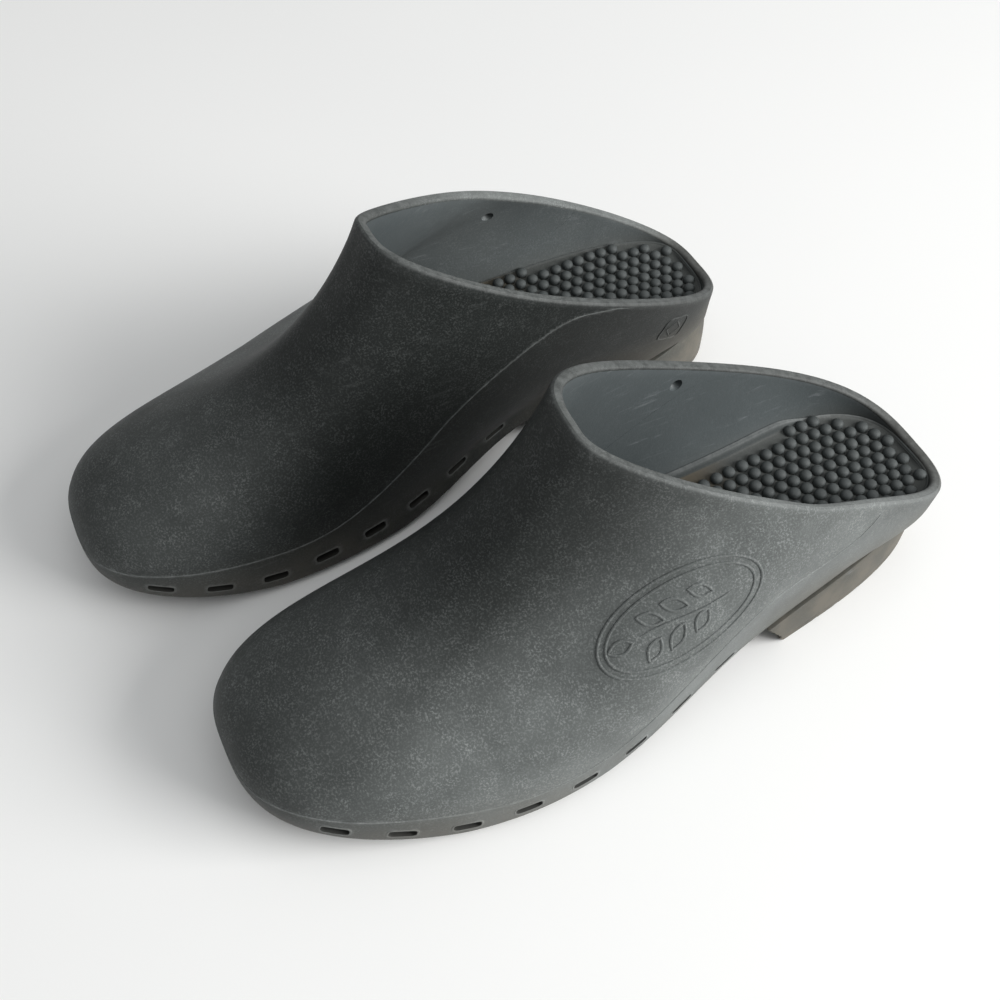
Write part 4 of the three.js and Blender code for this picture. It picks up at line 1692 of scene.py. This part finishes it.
@dataclass
class Underpart:
    """A piece under the sole, built of outlines one above the other."""

    clog: Clog
    name: str
    node: str
    slot: str
    finish: Finish
    count: int = 240
    blur: float = 2.0
    groove_pitch: float = 11
    groove_width: float = 3
    groove_depth: float = 1.2

    def outline_at(self, t: float) -> Array:
        """The piece's outline in plan at a share of its height; each kind gives its own."""
        raise NotImplementedError

    def height_at(self, t: float, x: Array) -> Array:
        """Heights at a share of the piece's own height; each kind gives its own."""
        raise NotImplementedError

    def section(self, t: float, inset: float) -> Array:
        """The rounded outline at a share of the height, drawn in by an inset.

        Args:
            t: share of the height.
            inset: how far it is drawn in.

        Returns:
            The ring of points.
        """
        ring = even_ring(self.outline_at(t), self.count, self.blur)
        ring = ring - ring_out(ring) * inset
        return vec(ring[:, 0], ring[:, 1], self.height_at(t, ring[:, 0]))

    def body(self, low_round: float, top_round: float, tall: float, levels: int) -> Any:
        """Stacks the sections, with a quarter circle at the lower and upper edges.

        Args:
            low_round: radius of the lower edge.
            top_round: radius of the upper edge.
            tall: height that the radii are measured against.
            levels: parts of the height between the rounded edges.

        Returns:
            The piece, without grooves.
        """
        quarter = np.linspace(0, np.pi / 2, 5)
        rise, inset = 1 - np.cos(quarter), 1 - np.sin(quarter)
        stack = [(low_round * r / tall, low_round * i) for r, i in zip(rise, inset)]
        first, last = low_round / tall, 1 - top_round / tall
        stack += [(first + (last - first) * k / levels, 0.0) for k in range(1, levels)]
        stack += [(1 - top_round * r / tall, top_round * i) for r, i in zip(rise[::-1], inset[::-1])]
        rows = np.stack([self.section(t, inset) for t, inset in stack])
        skin = Skin()
        skin.grid(rows, True)
        skin.cap(rows[0], 12)
        skin.cap(rows[-1], 12)
        paints = [self.clog.paints[self.finish]]
        return skin.build(f"{self.clog.side}_{self.name}", self.clog.stand, paints)

    def grooves(self, places: Sequence[float], depth: Callable[[float], float]) -> Any:
        """Bars across the sole that cut grooves with slanted sides from below.

        Args:
            places: distances from the heel.
            depth: height of a groove's roof at a distance from the heel.

        Returns:
            The bars as one object.
        """
        skin = Skin()
        for x in places:
            roof, half = depth(x), self.groove_width / 2
            mouth = roof - self.groove_depth
            right = [(half + 3, roof - 7), (half, mouth), (half - 0.35, roof)]
            corners = right + [(-dx, z) for dx, z in right[::-1]]
            ring = np.array([[x + dx, -100.0, z] for dx, z in corners])
            skin.prism(ring, np.array([0.0, 200.0, 0.0]))
        return skin.build("bars", self.clog.stand, [self.clog.paints[self.finish]])

    def half_outline(self, first: float, last: float, move: float) -> Array:
        """The sole's outline between two angles on both sides, moved outwards, in order round.

        Args:
            first: angle that it starts from.
            last: angle that it ends at.
            move: distance outwards, or inwards below 0.

        Returns:
            The points, the inner side first.
        """
        form = self.clog.form
        phi = np.linspace(first, last, 90)
        outer = form.outline(phi) + form.outwards(phi) * move
        inner = form.outline(2 * np.pi - phi) + form.outwards(2 * np.pi - phi) * move
        return np.concatenate([inner[::-1], outer])


@dataclass
class HeelPart(Underpart):
    """The heel block or its tread: it flares towards the floor, and its front is hollowed."""

    bottom: float = 4.1
    top: Optional[float] = None
    blur: float = 0.8
    flare: float = 2.5
    top_flare: float = 1.4
    belly: float = 0.5
    front_low: float = 76
    front_high: float = 86
    hollow: float = 5
    ledge: float = 16
    first_groove: float = 26
    groove_count: int = 4

    def level(self, t: float) -> float:
        """Height at the back of the heel for a share of the piece's height.

        Args:
            t: share of the height.

        Returns:
            The height.
        """
        top = self.clog.form.edge_height(np.array([0.0]))[0] if self.top is None else self.top
        return self.bottom + (top - self.bottom) * t

    def outline_at(self, t: float) -> Array:
        """The sole's outline, flared in a straight line with the height plus a slight belly.

        Args:
            t: share of the height.

        Returns:
            The corners in plan.
        """
        form = self.clog.form
        back = form.edge_height(np.array([0.0]))[0]
        z = self.level(t)
        flare = self.flare + (self.top_flare - self.flare) * z / back
        flare += self.belly * math.sin(math.pi * min(1, z / back))
        share = min(1.0, z / (back if self.top is None else self.ledge))
        front = self.front_low + (self.front_high - self.front_low) * share
        sides = self.half_outline(0, math.acos(1 - 2 * front / form.sole_length), flare)
        bow = np.linspace(0, 1, 24)[1:-1]
        breast = sides[-1] + (sides[0] - sides[-1]) * bow[:, None]
        breast[:, 0] -= self.hollow * (1 - (2 * bow - 1) ** 2)
        return np.concatenate([sides, breast])

    def height_at(self, t: float, x: Array) -> Array:
        """Level for a tread; the block's top follows the sole's underside."""
        if self.top is not None:
            return np.full_like(x, self.level(t))
        return self.bottom + (self.clog.form.edge_height(x) - 0.1 - self.bottom) * t

    def build(self) -> None:
        """Makes the piece; a tread gets its grooves."""
        if self.top is None:
            piece = self.body(low_round=0.25, top_round=0.3, tall=18, levels=12)
        else:
            piece = self.body(low_round=0.9, top_round=0.2, tall=self.top, levels=4)
            places = [self.first_groove + self.groove_pitch * k for k in range(self.groove_count)]
            carve(piece, self.grooves(places, lambda x: self.groove_depth), "DIFFERENCE")
        shade(piece, 35)
        own = self.clog.stand.unplace(coordinates(piece))
        paint(piece, "wear_and_highlight", 0.25 * smooth(1 - np.abs(own[:, 2] - 0.5) / 1.5))
        paint(piece, "soil", 0.45 * smooth((26 - own[:, 2]) / 16))
        self.clog.seat(piece, self.node, self.slot)


@dataclass
class ForeTread(Underpart):
    """The thin tread under the forefoot, which follows the sole's edge up at the toe."""

    back: float = 132
    inset: float = 4
    first_groove: float = 146
    groove_count: int = 9

    def outline_at(self, t: float) -> Array:
        """The sole's outline drawn in, from its straight back edge to the toe."""
        first = math.acos(1 - 2 * self.back / self.clog.form.sole_length)
        return self.half_outline(np.pi, first, -self.inset)

    def height_at(self, t: float, x: Array) -> Array:
        """Between the floor side and the sole's underside."""
        form = self.clog.form
        return form.edge_height(x) - form.tread_depth + (form.tread_depth - 0.1) * t

    def build(self) -> None:
        """Makes the tread and its grooves, which lie deeper where the toe rises."""
        form = self.clog.form
        piece = self.body(low_round=0.6, top_round=0.15, tall=2.3, levels=3)
        roofs = [self.first_groove + self.groove_pitch * k for k in range(self.groove_count)]
        under = {x: float(form.edge_height(np.array([x]))[0] - form.tread_depth) for x in roofs}
        carve(piece, self.grooves(roofs, lambda x: under[x] + self.groove_depth), "DIFFERENCE")
        shade(piece, 35)
        paint(piece, "wear_and_highlight", np.zeros(len(piece.data.vertices)))
        paint(piece, "soil", np.full(len(piece.data.vertices), 0.3))
        self.clog.seat(piece, self.node, self.slot)


# ---- floor, light and camera -----------------------------------------------------------------


@dataclass(frozen=True)
class Lamp:
    """A square soft light, placed in metres from the pair's middle.

    Attributes:
        name: its name.
        offset: to the camera's right, ahead of the camera, and up.
        size: of its square.
        power: in watts.
        tint: its colour.
    """

    name: str
    offset: Tuple[float, float, float]
    size: float
    power: float
    tint: Colour


@dataclass
class Studio:
    """The floor, the soft light and the camera, which are placed from the left clog."""

    stand: Stand
    eye: Tuple[float, float, float] = (265.9, 176.6, 391.1)
    gaze: Tuple[float, float, float] = (-0.26, -0.5182, -0.8147)
    roll: float = math.radians(0.28)
    lens: float = 41.99
    sensor: float = 36
    clip: Tuple[float, float] = (0.01, 50)
    floor_reach: float = 4.0
    floor_tones: Tuple[Colour, Colour] = ((0.9, 0.9, 0.89), (0.87, 0.872, 0.865))
    aim_height: float = 0.05
    lamps: Tuple[Lamp, ...] = (
        Lamp("window", (2.5, -0.6, 1.2), 1.7, 112, (1.0, 0.995, 0.985)),
        Lamp("ceiling", (0.35, -0.3, 1.8), 1.8, 11, (0.98, 0.995, 1.0)),
    )
    air_tint: Colour = (0.97, 0.985, 1.0)
    air_strength: float = 0.3

    def axes(self) -> Tuple[Array, Array, Array]:
        """The camera's right, up and forward directions in the model's frame.

        Returns:
            Three unit vectors.
        """
        origin = self.stand.place(np.zeros(3))
        forward = unit(self.stand.place(np.array(self.gaze)) - origin)
        level = unit(np.cross(forward, [0.0, 0.0, 1.0]))
        rise = np.cross(level, forward)
        c, s = math.cos(self.roll), math.sin(self.roll)
        return level * c - rise * s, level * s + rise * c, forward

    def camera(self) -> None:
        """Makes the camera at the eye, looking along the gaze."""
        right, up, forward = self.axes()
        data = bpy.data.cameras.new("camera")
        data.lens, data.sensor_width = self.lens, self.sensor
        data.clip_start, data.clip_end = self.clip
        made = bpy.data.objects.new("camera", data)
        turn = Matrix([[*row] for row in np.stack([right, up, -forward], 1)])
        place = Matrix.Translation(Vector(self.stand.place(np.array(self.eye))))
        made.matrix_world = place @ turn.to_4x4()
        bpy.context.collection.objects.link(made)
        bpy.context.scene.camera = made

    def light(self, lamp: Lamp) -> None:
        """Makes a lamp that faces the middle of the clogs' height.

        Args:
            lamp: what to make.
        """
        right, _, forward = self.axes()
        level = np.array([1, 1, 0])
        across, ahead, up = lamp.offset
        offset = unit(right * level) * across + unit(forward * level) * ahead + np.array([0, 0, up])
        data = bpy.data.lights.new(lamp.name, "AREA")
        data.size, data.energy, data.color = lamp.size, lamp.power, lamp.tint
        made = bpy.data.objects.new(lamp.name, data)
        aim = Vector(offset - np.array([0, 0, self.aim_height])).to_track_quat("Z", "Y")
        made.matrix_world = Matrix.Translation(Vector(offset)) @ aim.to_matrix().to_4x4()
        bpy.context.collection.objects.link(made)

    def floor(self) -> None:
        """A wide pale floor with a barely clouded tone."""
        g = Graph("floor_paper")
        tone = g.mix(Patches(3, 2, 0.3, 0.7).on(g) * 0.5, *self.floor_tones)
        grain = g.bump(g.noise(900, 3), 0.05, 0.0002)
        material = g.finish(Base_Color=tone, Roughness=0.55, Normal=grain)
        mesh = bpy.data.meshes.new("floor")
        reach = self.floor_reach
        corners = [(-reach, -reach, 0), (reach, -reach, 0), (reach, reach, 0), (-reach, reach, 0)]
        mesh.from_pydata(corners, [], [(0, 1, 2, 3)])
        mesh.materials.append(material)
        made = bpy.data.objects.new("floor", mesh)
        bpy.context.collection.objects.link(made)

    def build(self) -> None:
        """Sets up everything around the clogs."""
        self.camera()
        self.floor()
        for lamp in self.lamps:
            self.light(lamp)
        world = bpy.data.worlds.new("studio_air")
        bpy.context.scene.world = world
        world.use_nodes = True
        air = world.node_tree.nodes["Background"]
        air.inputs["Color"].default_value = (*self.air_tint, 1)
        air.inputs["Strength"].default_value = self.air_strength
        bpy.context.scene.view_settings.view_transform = "Standard"


# ---- everything ------------------------------------------------------------------------------


def main() -> None:
    """Builds the pair piece by piece, then the studio."""
    logging.basicConfig(level=logging.INFO, format="%(message)s")
    form, paints = ClogForm(), Paintbox()
    shift = find_shift(form)
    log.info("pair moved by %s m", np.round(shift, 5))
    for side in Side:
        clog = Clog(form, Stand(side, shift), paints)
        Shell(clog).build()
        Footbed(clog).build()
        HeelPart(clog, "heel_lift", "heel_block", "heel", Finish.HEEL).build()
        HeelPart(clog, "heel_sole", "heel_tread", "tread", Finish.TREAD, bottom=0.0, top=4.0).build()
        ForeTread(clog, "forefoot_sole", "forefoot_tread", "tread", Finish.TREAD, blur=1.6).build()
    Studio(Stand(Side.LEFT, shift)).build()


if __name__ == "__main__":
    main()
